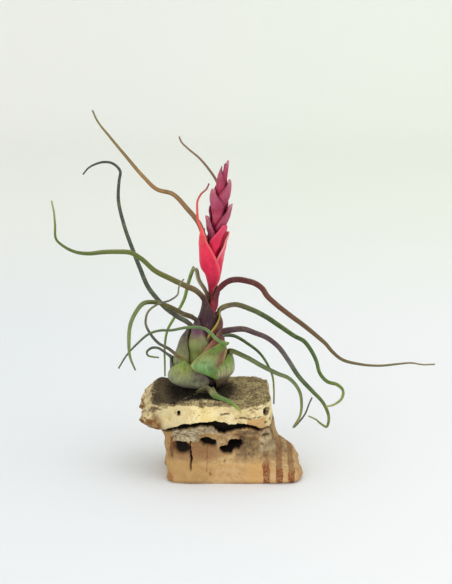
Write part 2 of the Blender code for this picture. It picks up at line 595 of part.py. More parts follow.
def build_cork():
    """The chunk of bark: a block below, a deep crevice, and a slab above with a hollow for the bulb."""
    azimuths = np.arange(CORK_POINTS) * 2 * math.pi / CORK_POINTS
    loops = []
    for level in CORK_LEVELS:
        loop = cork_side(level, azimuths)
        outwards = loop[:, :2] - np.array(level[1:3])
        outwards /= np.linalg.norm(outwards, axis=1)[:, None]
        rough = cork_roughness(loop, 5) if level[0] > 0.5 else 0 * azimuths
        loop[:, :2] += outwards * rough[:, None]
        loops.append(loop)
    rim = loops[-1]
    middle = np.array(CORK_LEVELS[-1][1:3])
    rim[:, 2] = cork_top(rim) - 0.8
    for share in CORK_TOP_SHARES:
        loop = rim.copy()
        loop[:, :2] = middle + (rim[:, :2] - middle) * share
        loop[:, 2] = cork_top(loop)
        loops.append(loop)
    centre = np.array([[middle[0], middle[1], 0.0]])
    top = np.array([middle[0], middle[1], cork_top(centre)[0]])
    bottom = np.array([CORK_LEVELS[0][1], CORK_LEVELS[0][2], 0.0])
    vertices, faces = lathe_mesh(loops, bottom, top)
    add_object("cork_bark", vertices, faces, CORK, 0.9)


def clear_scene():
    """Removes whatever the new scene holds."""
    for item in list(bpy.data.objects):
        bpy.data.objects.remove(item, do_unlink=True)


def main():
    """Builds the whole part."""
    clear_scene()
    build_cork()
    build_stem()
    build_leaves()


main()
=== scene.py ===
"""The dressed bulbous air plant on its cork, for the photograph's camera.

The geometry repeats the part's own tables and rules at a much finer step. Lengths are in millimetres in the
tables and shapes, and in metres in the materials, the stage, the lights and the camera. Azimuths are in
degrees: 0 is +X and -90 the front. Colours are sRGB hex codes.
"""

import math
from dataclasses import dataclass

import bmesh
import bpy
import numpy as np
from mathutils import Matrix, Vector, noise


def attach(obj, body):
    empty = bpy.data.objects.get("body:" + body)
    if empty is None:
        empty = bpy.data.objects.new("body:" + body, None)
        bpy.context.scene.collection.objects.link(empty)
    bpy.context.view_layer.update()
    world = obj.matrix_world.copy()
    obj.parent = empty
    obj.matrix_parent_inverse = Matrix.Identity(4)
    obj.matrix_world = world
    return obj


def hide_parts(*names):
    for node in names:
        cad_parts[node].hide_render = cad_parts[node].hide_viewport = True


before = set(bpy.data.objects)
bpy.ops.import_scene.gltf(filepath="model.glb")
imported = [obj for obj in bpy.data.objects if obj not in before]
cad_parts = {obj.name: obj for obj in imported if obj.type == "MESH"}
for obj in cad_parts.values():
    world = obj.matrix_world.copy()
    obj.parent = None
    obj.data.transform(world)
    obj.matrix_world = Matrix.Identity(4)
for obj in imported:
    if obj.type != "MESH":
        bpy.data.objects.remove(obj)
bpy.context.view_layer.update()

MM = 0.001

# A scale: the clear space under it, its thickness at the margins, the distance and crowding of its rings.
GAP = 0.46
EDGE = 0.62
RING_STEP = 0.45
RING_POWER = 1.15
FEWEST_RINGS = 12
SCALE_SEGMENTS = 32

# A blade: how far below the scale's top it starts, how long it takes to leave the scale, and its rings.
LEAD = 3.0
BLEND = 7.0
BLADE_STEP = 0.8
BLADE_SEGMENTS = 12
BLADE_TURN = math.pi * 0.42

# How much of a leaf's colour stops its scale takes, and how many blade rings still raise the surface.
SCALE_SHARE = 0.3
RAISING_RINGS = 14


def numbers(text):
    """The rows of numbers in a text: commas part the rows and spaces the numbers."""
    return [[float(number) for number in row.split()] for row in text.split(",")]


# The stem's centreline as height, x and y, and its radius over height.
AXIS = numbers(
    "44 -16.4 0, 54 -16.4 0, 64 -15.9 0, 74 -14 0, 82 -12.3 0, 90 -11.6 0, 100 -11.4 0, 115 -10.8 0, "
    "132 -8.7 0, 145 -6.7 0, 162 -4.3 0"
)
STEM_RADIUS = numbers(
    "45 5.5, 46.2 9.2, 48 10.8, 51 10.8, 55 9.2, 60 7, 66 5, 72 2.8, 79 1.2, 86 0.9, 96 0.9, 104 1.1, "
    "115 1.2, 140 0.8, 158 0.5"
)
STEM_ENDS = (45.0, 158.6)

# The grid that keeps the outermost surface so far, as radius over azimuth and height.
GRID_AZIMUTHS = 120
GRID_HEIGHTS = np.linspace(44.0, 164.0, 481)
GRID_REACH = (6, 8)

# The cork's side contours: height, middle x and y, half length, half depth, squareness.
CORK_LEVELS = numbers(
    "0 -1.2 -2 32.8 21 8, 1 -1 -2 34 22 8, 4 -1.2 -2 33.8 22.5 7, 8 -2 -2 33 22.5 6, "
    "11 -3.5 -2 31.5 22 5, 14.5 -5.5 -1.5 29.5 20.5 4.2, 18.5 -6.8 -1 28 17.5 3.6, "
    "22.5 -8.5 -1 28.5 16.5 3.4, 26.5 -12 -1.5 31 20 3.6, 29.5 -14.4 -2 33 22.8 4.4, "
    "34 -14.4 -2.5 32.9 23.5 5, 38.5 -13.6 -3 31.9 22.8 4.6, 42.5 -12.6 -3.2 30.4 21.6 4.2"
)
CORK_FLOOR = 43.2
CORK_WAVES = [(34.0, 0.8), (17.0, 0.7), (9.0, 0.45)]

# Rises and dips of the cork's top: x, y, reach in x, reach in y, height.
CORK_RISES = numbers(
    "-17.5 0 9 9 2.5, -37 6 5 9 3.2, 7 6 13 11 2, -12 -23 17 5 1.8, 14 -25 15 17 -4.8, -41 -19 12 12 -6"
)

# Greatest height of the cork under the bulb over the distance from the bulb's middle.
BULB_SEAT = numbers("0 44.5, 4 44.5, 9 44.6, 12 44.6, 15 45.1, 18 46.4, 21 48.6, 30 55")

# The cork's fine step: points in a contour, contours in its side and in its top.
CORK_POINTS = 500
CORK_SIDE_LOOPS = 105
CORK_TOP_LOOPS = 55
CORK_RIM = 42.5

# The crevice under the cork's slab: x, height of its middle, half its thickness.
CORK_CREVICE = numbers(
    "-50 24 0.5, -42 24.4 0.8, -37 25.6 1.3, -33 27.6 1.2, -26 30.1 1.35, -21 31 1.3, -15 31.9 1, "
    "-11.5 31.6 1.6, -8 29.6 3.1, -5 28.8 3.4, -2 29.5 2.5, 3 30.2 1.7, 7 30.2 1.5, 10 28.2 1.3, "
    "13 27 0.7, 18 26.6 0.5, 40 26.4 0.5"
)

# Fragments that stand out below the slab: left, right, low, high, how far, how crumbly.
CORK_FRAGMENTS = numbers(
    "-31.5 -18 20.2 29.5 4.4 1, -17 -8.4 25.8 31.5 4 1, -17.5 -9.5 22 24.4 2.2 0.15, "
    "-9.6 -0.8 18.8 26.2 4.4 0.3, -1.5 19 15 28.5 3.4 0, 3 11.5 21.5 27.5 1.2 0.25, "
    "12 30 15 26.5 0.8 0.35"
)

# Hollows in the cork's front: x, z, reach in x, reach in z, depth, tilt.
CORK_HOLLOWS = numbers(
    "-26.8 17.4 4.6 2.5 2.8 0, -22.2 14 0.6 5.8 3.4 0, -13.2 20.3 4.2 1.8 4.2 0, -4.2 16.7 3 1.7 7 0, "
    "0 18.7 4 2.1 7.5 0.1, -29.8 42 0.6 0.7 3 0, -27.8 38 0.8 1.2 3.6 0, -5.2 37.6 2.6 0.25 1.4 -0.02, "
    "6.4 35.4 6.5 0.22 1.4 -0.02, 16.4 37.6 1.7 2.2 8 0, 17.6 31.6 1.7 0.8 6 0, 15.8 22.4 1.8 0.8 1.6 0, "
    "15.4 14.4 1.9 1.5 0.9 0, -5.4 12.4 0.5 0.8 0.9 0, -12 5.6 0.5 0.9 0.9 0, -37.5 27 1.2 0.8 2.4 0"
)

# Red-brown streaks: left, right, low, high, how strong.
CORK_STAINS = numbers(
    "13.6 17.4 -9 12.5 0.9, 20.7 23.8 -9 18 1, 26.6 29.8 -9 17 1, -14.4 -13.6 8 19 0.7, "
    "-32.8 -31 13 22 0.8, -34 -30.8 1 6 0.55, -22 -12 5.4 6 0.4, 9.5 16 26.2 27.6 0.8, "
    "-23 -15 31.6 32.6 0.45, 31.5 60 -9 26 0.35"
)

# What the cork's mesh stores at every point for its material.
CORK_MARKS = ("cavity", "slab", "crumbly", "stain", "worn", "flushed")


@dataclass
class Leaf:
    """A leaf or bract: where its scale sits on the stem, and the width and route of its blade.

    reach is the scale's lowest and highest height, turn its azimuth at foot and top, wide its greatest half
    width in degrees, bulge how far its middle stands off, lift how far its tip does, shape the share of its
    greatest width at foot and top, crest how much thicker its middle is. stops lists places along it with
    their colours, and look what else sets its surface apart. width lists shares of the blade with its width
    there, and route the blade's own points. sway is how many degrees the scale's middle swings aside, and
    peak how far up it is widest.
    """

    name: str
    reach: tuple
    turn: tuple
    wide: float
    bulge: float
    lift: float
    shape: tuple
    crest: float
    stops: str
    look: dict
    width: str = ""
    route: str = ""
    sway: float = 0.0
    peak: float = 0.35


# The layers in the order in which they are laid on the stem, the innermost first. A floral bract's row is its
# lowest and highest height, azimuth at foot and top, half width, bulge, lift and crest.
FLORAL_BRACTS = numbers(
    "144 160 -60 -35 105 0.2 0.1 0.1, 140 157 -150 -165 100 0.2 0.2 0.1, 136 152 80 90 95 0.1 0.2 0.1, "
    "130 150.5 -38 -15 105 0.5 0.3 0.15, 126 146 -140 -155 100 0.4 0.2 0.15, "
    "124 142 90 80 85 0.1 0.2 0.1, 118 138 -18 0 85 0.6 0.4 0.1, 114 132.5 -140 -165 75 0.2 0.4 0.1"
)
BRACTS = [
    Leaf(f"floral_bract_{number:02d}", (low, high), (foot, top), wide, bulge, lift, (0.6, 0.16), crest,
         "0 9c1636 0.3 ac2646 0.6 a83c5a 0.85 b04e68 1 cc8088",
         dict(tint="6c2038", tint_share=0.45, dull=0.2))
    for number, (low, high, foot, top, wide, bulge, lift, crest) in enumerate(FLORAL_BRACTS, 1)
] + [
    Leaf("scape_bract_front", (99, 128.5), (-78, -50), 88, 0.6, 0.1, (0.4, 0.12), 0.1,
         "0 7c1028 0.2 c8143c 0.5 dc1a46 0.8 dc2650 1 d84468", dict(light=0.08)),
    Leaf("scape_bract_back", (104, 125), (105, 100), 75, 0.3, 0.3, (0.6, 0.1), 0.1,
         "0 a83440 0.6 7c4048 1 8a3a44", {}),
    Leaf("scape_bract_left", (106, 125.5), (178, 175), 50, 0.2, 0.2, (0.6, 0.3), 0.1,
         "0 b04048 0.5 84484e 1 98404c", {}),
    Leaf("scape_bract_right", (96, 124), (0, 8), 80, 1.1, 0.3, (0.4, 0.12), 0.15,
         "0 7c1028 0.25 c41a40 0.5 e83058 0.8 ec5c70 1 e88a8c",
         dict(tint="f4a8a6", tint_share=0.6, light=0.1)),
    Leaf("scape_bract_tailed", (93, 125), (-112, -160), 80, 0.7, 0.1, (0.6, 0.2), 0.2,
         "0 7c1028 0.06 b4183a 0.14 e01e4a 0.26 e62e4c 0.34 ec5450 0.5 ee5a4c 0.7 d8504a 0.85 a85850 "
         "1 745050", dict(tint="f08078", tint_share=0.45, light=0.08),
         "0 1.5, 0.5 1.1, 1 0.8",
         "-18.1 -1.2 130, -18.6 -1.4 136, -18.4 -1.8 140, -16.6 -2.2 143.6, -14 -2.8 146.2, "
         "-12.7 -3.4 149"),
]
LEAVES = [
    Leaf("leaf_back_tall", (84, 94), (130, 122), 42, 0, 0, (0.7, 0.5), 0.2,
         "0 6b3a35 0.35 7c4228 0.5 8c5430 0.75 96622e 0.9 80662e 1 6c6c34", dict(bloom=0.06),
         "0 2.4, 0.3 2.6, 0.7 1.7, 1 0.8",
         "-13.6 7.5 103.5, -15 10.5 115.5, -18 13 125, -24.5 15 133, -31.5 18 139.5, -39.5 20 141.5, "
         "-46 21 147.5, -54.5 22 157.5, -62.5 22 167.5, -69 21 176.5, -71 20 181.5"),
    Leaf("leaf_back_short", (86, 96), (40, 52), 40, 0, 0, (0.7, 0.5), 0.2,
         "0 6b3a35 0.35 644034 0.7 74443a 1 8c5e56", {},
         "0 1.9, 0.4 1.7, 1 0.8",
         "-7.6 7.5 104.5, -6.2 11 120.5, -6.5 14 135, -8.5 16 145, -13 18 152, -18.5 20 158, "
         "-23.5 21 162, -27 22 165.5, -28 22 168"),
    Leaf("leaf_right_long", (73, 94), (-70, -18), 125, 0, 0, (0.7, 0.24), 0.25,
         "0 7c1428 0.2 9c1832 0.28 7a1828 0.36 541c22 0.46 663028 0.56 6c4a32 0.7 6a5834 0.85 6e6442 "
         "1 84784e", dict(bloom=0.04, mottling=0.4, rim="7c2c2c"),
         "0 3.2, 0.15 3.3, 0.45 2.6, 0.72 1.3, 1 0.7",
         "-2.5 -3 100.5, 1 -3 101, 5.5 -3.5 100.5, 10.5 -4 99, 14 -5 96.5, 16 -6 93.5, 20 -8 90, "
         "27 -11 85, 34.5 -14 80, 41.5 -16 74.5, 45 -17 71.5, 48 -18 68, 52.5 -18 64, 61.5 -17 61, "
         "72 -15 59.5, 82 -12 59.5, 88.5 -9 59, 94 -7 57.5, 100.5 -5 57"),
    Leaf("leaf_back_hanging", (77, 92), (150, 145), 85, 0, 0, (0.7, 0.3), 0.2,
         "0 6e3a36 0.3 7c4e42 0.42 988e6c 0.5 788c3a 0.8 7c9636 1 70803a", {},
         "0 2, 0.3 2, 0.7 1.4, 1 0.8",
         "-18.5 8 98.5, -19.4 10.5 102, -20.5 13 102.5, -21.8 15 99.5, -23.5 17 94, -26 20 84, "
         "-31 23.5 73.5, -35 25.5 65.5, -36.5 26 55.5, -36.5 26 47, -36.5 26 40.5"),
    Leaf("leaf_left_long", (66, 89), (-115, -150), 125, 0.2, 0, (0.7, 0.24), 0.3,
         "0 8a8a38 0.05 7c3c4c 0.12 401a28 0.26 3a1822 0.33 4c2c2c 0.41 74603a 0.52 66702a 0.8 586c2c "
         "0.92 6e7e38 1 909a5c",
         dict(flush=(0.5, "2c101a"), rim="7c342c", rim_share=0.6, bloom=0.06, mottling=0.35),
         "0 3.2, 0.3 2.8, 0.6 2.2, 0.8 1.4, 1 0.8",
         "-18.5 -6 95.5, -24.5 -8 99, -31.5 -10 103, -39 -12 107.5, -45.5 -14 114, -50.5 -16 117.5, "
         "-57.5 -18 118.5, -64 -21 119, -70.5 -24 119, -76.5 -27 120.5, -81.5 -29 123.5, -85 -30 127, "
         "-85.5 -31 135, -86 -31 141.5, -87 -30 146"),
    Leaf("leaf_right_arched", (61, 83), (25, 18), 115, 0.8, 0, (0.7, 0.26), 0.3,
         "0 4c4028 0.18 5c2828 0.26 6e3028 0.34 6c5a42 0.42 606640 0.55 465c2a 0.75 4e6a34 0.88 708034 "
         "1 a0a058", dict(rim="a4a034", rim_share=0.85, bloom=0.08),
         "0 3, 0.35 2.6, 0.65 2, 0.85 1.5, 1 0.8",
         "-1.5 6 85.5, 8.5 9 82, 16 11 77.5, 23.5 12 72, 31 13 66.5, 35.5 13 64, 39 11 60, 42 8 54.5, "
         "43.5 4 49.5, 47 -1 46.5, 52 -5 46, 54.5 -9 44.5, 53.5 -14 42, 49.5 -19 40.5, 45 -24 41"),
    Leaf("leaf_left_hooked", (53, 79), (-132, -148), 80, 0.9, 0, (0.6, 0.26), 0.3,
         "0 6c7030 0.06 767c30 0.14 7e883c 0.2 84924e 0.24 868250 0.27 74465c 0.29 5c304c 0.32 402c30 "
         "0.42 5c4a2c 0.55 5e5c2c 0.7 546a2a 0.93 587430 1 3a4230",
         dict(flush=(0.3, "5a2e40"), one_sided=True, rim="40202e", rim_share=0.7, bloom=0.08),
         "0 2.9, 0.4 2.2, 0.8 1.8, 1 0.8",
         "-26 -9 85, -32 -11.5 89, -38.5 -14.5 92, -44 -19 93, -47.5 -26 91, -50.5 -33 85.5, "
         "-51 -38 78.5, -50.5 -40 72, -48 -40 65"),
    Leaf("leaf_left_upright", (51, 75), (180, 166), 58, 2.9, 0, (0.6, 0.26), 0.3,
         "0 7c8250 0.14 80864e 0.22 6a6242 0.28 3c2e30 0.34 403e32 0.55 444c38 0.8 3c4034 1 443e3a",
         dict(flush=(0.4, "3a2430"), bloom=0.2),
         "0 2.9, 0.3 2.6, 0.65 2, 0.85 1.4, 1 0.7",
         "-29.5 6.5 79.5, -34.5 7.5 83, -39 9 87.5, -43.5 11 93, -47.5 13 102, -51.5 15 112, -56 17 125, "
         "-58.5 19 137, -58 20 146, -57.5 21 150.5, -61.5 22 154.5, -65.5 23 155, -69.5 24 154, "
         "-74 25 151.5, -77 26 148"),
    Leaf("leaf_right_back", (52, 66), (60, 50), 75, 0.5, 0, (0.7, 0.26), 0.2,
         "0 5c6c40 0.4 365234 0.75 527432 0.93 90943e 1 4c4430", {},
         "0 2.2, 0.5 1.5, 1 0.8",
         "-1 14 66.5, 7.5 14.5 61.5, 13 14 57, 16.8 13.5 51.5, 19.6 13 45, 20.4 12.5 37, 20.4 12 30"),
    Leaf("leaf_right_folded", (53, 73), (-42, -42), 58, 1.4, 0, (0.6, 0.34), 0.3,
         "0 5e4a34 0.12 8a7a54 0.2 ac9470 0.26 9c6c50 0.3 6c302a 0.36 46282e 0.5 523a40 0.6 5e5856 "
         "0.7 486032 0.88 748438 1 908c48",
         dict(flush=(0.2, "7a3028"), rim="a86a4c", rim_share=0.6, bloom=0.08),
         "0 3.3, 0.3 2.6, 0.6 2.2, 0.82 1.3, 1 0.7",
         "-0.5 -8.5 76.5, 4.5 -9.5 77, 10 -11 75.5, 15.5 -12 73.5, 21 -13 69.5, 27 -14 61.5, "
         "31.5 -15 54.5, 39 -17 46.5, 43.5 -17 41.5, 46 -16 36.5, 47 -15 32.5, 46 -13 26.5, 43 -15.5 29, "
         "40 -18.5 32.5, 36.5 -21 35"),
    Leaf("leaf_left_curl", (48, 58), (160, 172), 60, 0.2, 0, (0.7, 0.3), 0.2,
         "0 5c6048 0.4 3c443c 0.75 424c38 0.9 808e40 1 9ca058", {},
         "0 1.8, 0.5 1.4, 1 0.8",
         "-36 6 60.5, -38.5 8 61.5, -42.5 10 61, -45 11 58.5, -44.5 12.5 56, -42 13.5 55, -39 14 54.5"),
    Leaf("leaf_right_low", (46, 62), (0, -4), 64, 1.7, 0, (0.8, 0.5), 0.3,
         "0 20140f 0.04 3a2820 0.08 6e5a42 0.12 a8a67c 0.17 bebc88 0.25 9cb068 0.3 7c963c 0.38 44642e "
         "0.6 3c6230 0.74 6c8234 0.8 989438 0.84 5e5a40 1 646460",
         dict(flush=(0.3, "5c4034"), streak=0.5, bloom=0.1),
         "0 2.6, 0.35 2.2, 0.7 1.2, 1 0.7",
         "5.5 -6 61, 13 -10.5 58, 21.5 -15 55, 26.5 -17 53.5, 29.5 -18 51, 32 -19 47, 33 -19 41, "
         "32.5 -17 34, 29.5 -14 26.5, 32.5 -11 28.5, 35.5 -9 32, 37.5 -8 37, 39 -7 40", 0, 0.45),
    Leaf("leaf_front_curly", (45.9, 60.5), (-138, -130), 54, 1.8, 0, (0.85, 0.1), 0.3,
         "0 5a5646 0.02 807c64 0.06 98967a 0.12 90926a 0.2 888c58 0.27 8a9048 0.3 84923a 0.34 7a9036 "
         "0.42 886430 0.5 504a38 0.6 50504a 0.75 706848 0.88 50504a 1 80805a",
         dict(flush=(0.8, "4a3440"), one_sided=True, rim="5a3c42", rim_share=0.5, bloom=0.2),
         "0 2.4, 0.25 1.7, 0.6 1.1, 1 0.7",
         "-28.5 -19 66, -32.5 -22 70.5, -37.5 -24 74, -41 -25 78.5, -43.5 -26 85, -42.5 -25 89.5, "
         "-37 -23 93.5, -31.5 -22 95, -27.8 -21 98, -27.5 -20 100.5, -26.5 -19 103, -25 -18 104.5", 12, 0.12),
    Leaf("leaf_front_crossing", (52.3, 69.5), (-64, -46), 29, 0.9, 0, (0.12, 0.6), 0.3,
         "0 6c7c2c 0.04 607c30 0.09 5c843e 0.15 769a5c 0.2 869858 0.25 868a48 0.285 6c8434 0.36 7a9c3c "
         "0.5 688650 0.75 506844 1 485040",
         dict(flush=(0.85, "7c4434"), one_sided=True, rim="a89a48", rim_share=0.6, streak=0.4, bloom=0.06),
         "0 2.6, 0.1 2.2, 0.5 1.5, 1 0.8",
         "-4.2 -15.6 71.3, -6.4 -17.3 72.5, -9.2 -18 74.4, -11.6 -18.3 77.2, -14.4 -18.8 79.6, "
         "-18.5 -19.6 80.8, -24 -21 81, -31.5 -24 80.5, -36.5 -26 81, -41.5 -28 80, -48 -30 75, "
         "-52.5 -30 70, -57 -29 62.5", -24, 0.5),
    Leaf("leaf_front_low", (44.6, 48.2), (-84, -78), 20, 0, 0, (0.9, 0.8), 0.1,
         "0 4c4430 0.3 5c5636 0.45 6e6a40 0.52 8e8c58 0.56 5a7430 0.8 5a8034 0.95 9aa040 1 c8b858",
         dict(flush=(0.5, "4c3c28"), rim="8c8258", rim_share=0.8),
         "0 3.6, 0.42 3.4, 0.56 2.3, 0.85 1.9, 1 1",
         "-9.5 -21.4 46.2, -7.6 -22.8 45.8, -5.4 -24.4 45.4, -2.8 -26 44.7, -0.2 -27.4 43.3, "
         "1.6 -28.1 41.7, 2.6 -28.3 40.4, 3 -28.3 39.4"),
]


def along(table, places):
    """Values of a table of (place, value, ...) rows at the given places, joined by smooth cubics."""
    rows = np.array(table, float)
    knots = rows[:, 0]
    values = rows[:, 1:]
    slopes = np.gradient(values, knots, axis=0)
    places = np.clip(np.atleast_1d(places), knots[0], knots[-1])
    index = np.clip(np.searchsorted(knots, places, side="right") - 1, 0, len(knots) - 2)
    span = (knots[index + 1] - knots[index])[:, None]
    t = (places - knots[index])[:, None] / span
    start = (1 + 2 * t) * (1 - t) ** 2 * values[index] + t * (1 - t) ** 2 * span * slopes[index]
    end = t ** 2 * (3 - 2 * t) * values[index + 1] + t ** 2 * (t - 1) * span * slopes[index + 1]
    return start + end


def ease(t):
    """A smooth step from 0 to 1."""
    t = np.clip(t, 0.0, 1.0)
    return t * t * (3 - 2 * t)


def run(points):
    """How far along their line the points lie from the first."""
    return np.concatenate([[0], np.cumsum(np.linalg.norm(np.diff(points, axis=0), axis=1))])


def unit(vectors):
    """Vectors brought to length 1."""
    return vectors / np.linalg.norm(vectors, axis=-1, keepdims=True)


def on_stem(azimuths, heights, radii):
    """Points at the given azimuths (degrees), heights and radii round the stem's centreline."""
    centres = along(AXIS, heights)
    angles = np.radians(azimuths)
    x = centres[:, 0] + radii * np.cos(angles)
    y = centres[:, 1] + radii * np.sin(angles)
    return np.stack([x, y, np.broadcast_to(heights, x.shape)], axis=1)


def round_stem(points, near):
    """Azimuths (within half a turn of near), heights and radii of points, the reverse of on_stem."""
    out = points[:, :2] - along(AXIS, points[:, 2])
    azimuths = np.degrees(np.arctan2(out[:, 1], out[:, 0]))
    azimuths = near + np.mod(azimuths - near + 180.0, 360.0) - 180.0
    return np.stack([azimuths, points[:, 2], np.hypot(out[:, 0], out[:, 1])], axis=1)


def between(first, second, share, near):
    """Points part of the way from one row to another, going round the stem rather than through it."""
    places = round_stem(first, near) * (1 - share) + round_stem(second, near) * share
    return on_stem(places[:, 0], places[:, 1], places[:, 2])


def shifted_all(grid, reach, axis, combine):
    """A grid combined with its own copies shifted by up to reach cells along one axis."""
    result = grid.copy()
    for shift in range(1, reach + 1):
        for step in (shift, -shift):
            moved = np.roll(grid, step, axis)
            if axis == 1 and step > 0:
                moved[:, :step] = grid[:, :1]
            if axis == 1 and step < 0:
                moved[:, step:] = grid[:, -1:]
            result = combine(result, moved)
    return result


def grid_row(heights):
    """The grid's row at each height, with its fraction."""
    return (heights - GRID_HEIGHTS[0]) / (GRID_HEIGHTS[1] - GRID_HEIGHTS[0])


class Layers:
    """The outermost surface of the plant so far, as a radius for every azimuth and height."""

    def __init__(self):
        self.azimuths = np.arange(GRID_AZIMUTHS) * 360.0 / GRID_AZIMUTHS
        stem = along(STEM_RADIUS, GRID_HEIGHTS)[:, 0]
        self.radii = np.tile(stem, (GRID_AZIMUTHS, 1))
        self.smooth = self.radii

    def settle(self):
        """Smooths the surface without letting it sink below itself anywhere."""
        grid = self.radii
        for axis, reach in enumerate(GRID_REACH):
            grid = shifted_all(grid, reach, axis, np.maximum)
        for axis, reach in enumerate(GRID_REACH):
            for _ in range(2):
                grid = shifted_all(grid, reach // 2, axis, np.add) / (2 * (reach // 2) + 1)
        self.smooth = grid

    def radius(self, azimuths, heights):
        """The smoothed radius at each azimuth and height."""
        column = np.mod(azimuths, 360.0) * GRID_AZIMUTHS / 360.0
        row = np.clip(grid_row(heights), 0, len(GRID_HEIGHTS) - 1.001)
        left = np.floor(column).astype(int)
        low = np.floor(row).astype(int)
        across = column - left
        up = row - low
        left = left % GRID_AZIMUTHS
        right = (left + 1) % GRID_AZIMUTHS
        below = self.smooth[left, low] * (1 - across) + self.smooth[right, low] * across
        above = self.smooth[left, low + 1] * (1 - across) + self.smooth[right, low + 1] * across
        return below * (1 - up) + above * up

    def cover(self, leaf):
        """Raises the surface to the outer side of a leaf's scale."""
        azimuths, heights = np.meshgrid(self.azimuths, GRID_HEIGHTS, indexing="ij")
        centre = turn_at(leaf, heights)
        offset = np.mod(azimuths - centre + 180.0, 360.0) - 180.0
        across = offset / half_width(leaf, heights)
        inside = (np.abs(across) <= 1.05) & (heights >= leaf.reach[0]) & (heights <= leaf.reach[1])
        outer = scale_radii(self, leaf, azimuths, heights, np.clip(across, -1, 1))[1]
        self.radii = np.where(inside, np.maximum(self.radii, outer), self.radii)

    def cover_points(self, points):
        """Raises the surface round loose points that are still close to it."""
        azimuths, heights, radii = round_stem(points, 0.0).T
        columns = np.round(azimuths * GRID_AZIMUTHS / 360.0).astype(int)
        rows = np.round(grid_row(heights)).astype(int)
        for radius, column, row in zip(radii, columns % GRID_AZIMUTHS, rows):
            if 0 <= row < len(GRID_HEIGHTS) and radius < self.radii[column, row] + 4.5:
                self.radii[column, row] = max(self.radii[column, row], radius)


def share_up(leaf, heights):
    """How far up its scale each height is, from 0 to 1."""
    return np.clip((heights - leaf.reach[0]) / (leaf.reach[1] - leaf.reach[0]), 0, 1)


def turn_at(leaf, heights):
    """The azimuth of the scale's midrib at each height."""
    up = share_up(leaf, heights)
    return leaf.turn[0] + (leaf.turn[1] - leaf.turn[0]) * ease(up) + leaf.sway * np.sin(np.pi * up)


def half_width(leaf, heights):
    """The scale's half width in degrees: broad above its foot, drawn in towards its top."""
    up = share_up(leaf, heights)
    foot, top = leaf.shape
    growing = foot + (1 - foot) * ease(up / leaf.peak)
    shrinking = top + (1 - top) * (1 - np.clip((up - leaf.peak) / (1 - leaf.peak), 0, 1) ** 1.7)
    return leaf.wide * np.where(up < leaf.peak, growing, shrinking)


def scale_radii(layers, leaf, azimuths, heights, across):
    """Radius of a scale's inner and outer side at each azimuth, height and place across it."""
    up = share_up(leaf, heights)
    middle = 1 - across ** 2
    slack = 1 / np.cos(np.radians(half_width(leaf, heights)) / SCALE_SEGMENTS)
    stand = leaf.bulge * np.sin(np.pi * up) ** 0.8 * middle + leaf.lift * up ** 4
    inner = (layers.radius(azimuths, heights) + GAP + stand) * slack
    return inner, inner + EDGE + leaf.crest * middle


def scale_rows(layers, leaf, height):
    """One ring of a scale as two rows of points, along its inner and its outer side."""
    across = np.linspace(-1, 1, SCALE_SEGMENTS + 1)
    heights = np.full(across.shape, float(height))
    azimuths = turn_at(leaf, heights) + across * half_width(leaf, heights)
    inner, outer = scale_radii(layers, leaf, azimuths, heights, across)
    return on_stem(azimuths, heights, inner), on_stem(azimuths, heights, outer)


def scale_middle(layers, leaf, height):
    """The middle of a scale's ring at one height."""
    inner, outer = scale_rows(layers, leaf, height)
    return (inner[SCALE_SEGMENTS // 2] + outer[SCALE_SEGMENTS // 2]) / 2


def blade_line(points):
    """Centres, tangents and places (mm from the start) of a blade's rings, closer together in its bends."""
    points = np.array(points, float)
    chord = run(points)
    dense = along(np.column_stack([chord, points]), np.linspace(0, chord[-1], 900))
    length = run(dense)
    tangent = unit(np.gradient(dense, length, axis=0))
    bend = np.linalg.norm(np.gradient(tangent, length, axis=0), axis=1)
    weight = np.clip(0.55 + 5.5 * bend, 0.55, 2.6) / BLADE_STEP
    count = np.concatenate([[0], np.cumsum((weight[1:] + weight[:-1]) / 2 * np.diff(length))])
    wanted = np.linspace(0, count[-1], max(int(round(count[-1])), 6) + 1)
    places = np.interp(wanted, count, length)
    centres, tangents = (np.stack([np.interp(places, length, column) for column in values.T], axis=1)
                         for values in (dense, tangent))
    return centres, unit(tangents), places


def carried_normals(tangents, normal):
    """A normal for every tangent, carried along the line without spinning round it."""
    normals = []
    for tangent in tangents:
        normal = unit(normal - tangent * np.dot(normal, tangent))
        normals.append(normal)
    return normals


def blade_rows(centre, tangent, normal, width, segments):
    """One ring of a blade: its hollowed upper row and its rounded under row."""
    side = np.cross(normal, tangent)
    across = np.linspace(-1, 1, segments + 1)
    depth = max(0.78 * width, EDGE)
    hollow = max(min(0.30 * width, depth - 0.7), 0.0)
    upper = 0.32 * depth - hollow * (1 - across ** 2)
    angle = across * BLADE_TURN
    flat = math.cos(BLADE_TURN)
    under = 0.20 * depth - depth * (np.cos(angle) - flat) / (1 - flat)
    reach = 0.5 * width * np.sin(angle) / math.sin(BLADE_TURN)
    top_row = centre + np.outer(reach * 0.97, side) + np.outer(upper, normal)
    return top_row, centre + np.outer(reach, side) + np.outer(under, normal)


def scale_rings(layers, leaf, top):
    """The rings of a leaf's scale from its foot up to a height.

    A ring is its inner row, its outer row, its place in the leaf's colours and its distance from the foot.
    """
    low = leaf.reach[0]
    share = SCALE_SHARE if leaf.route else 1.0
    count = max(FEWEST_RINGS, int((top - low) / RING_STEP))
    rings = []
    for height in low + (top - low) * np.linspace(0, 1, count) ** RING_POWER:
        rows = scale_rows(layers, leaf, height)
        rings.append((*rows, share * (height - low) / (top - low), height - low))
    return rings


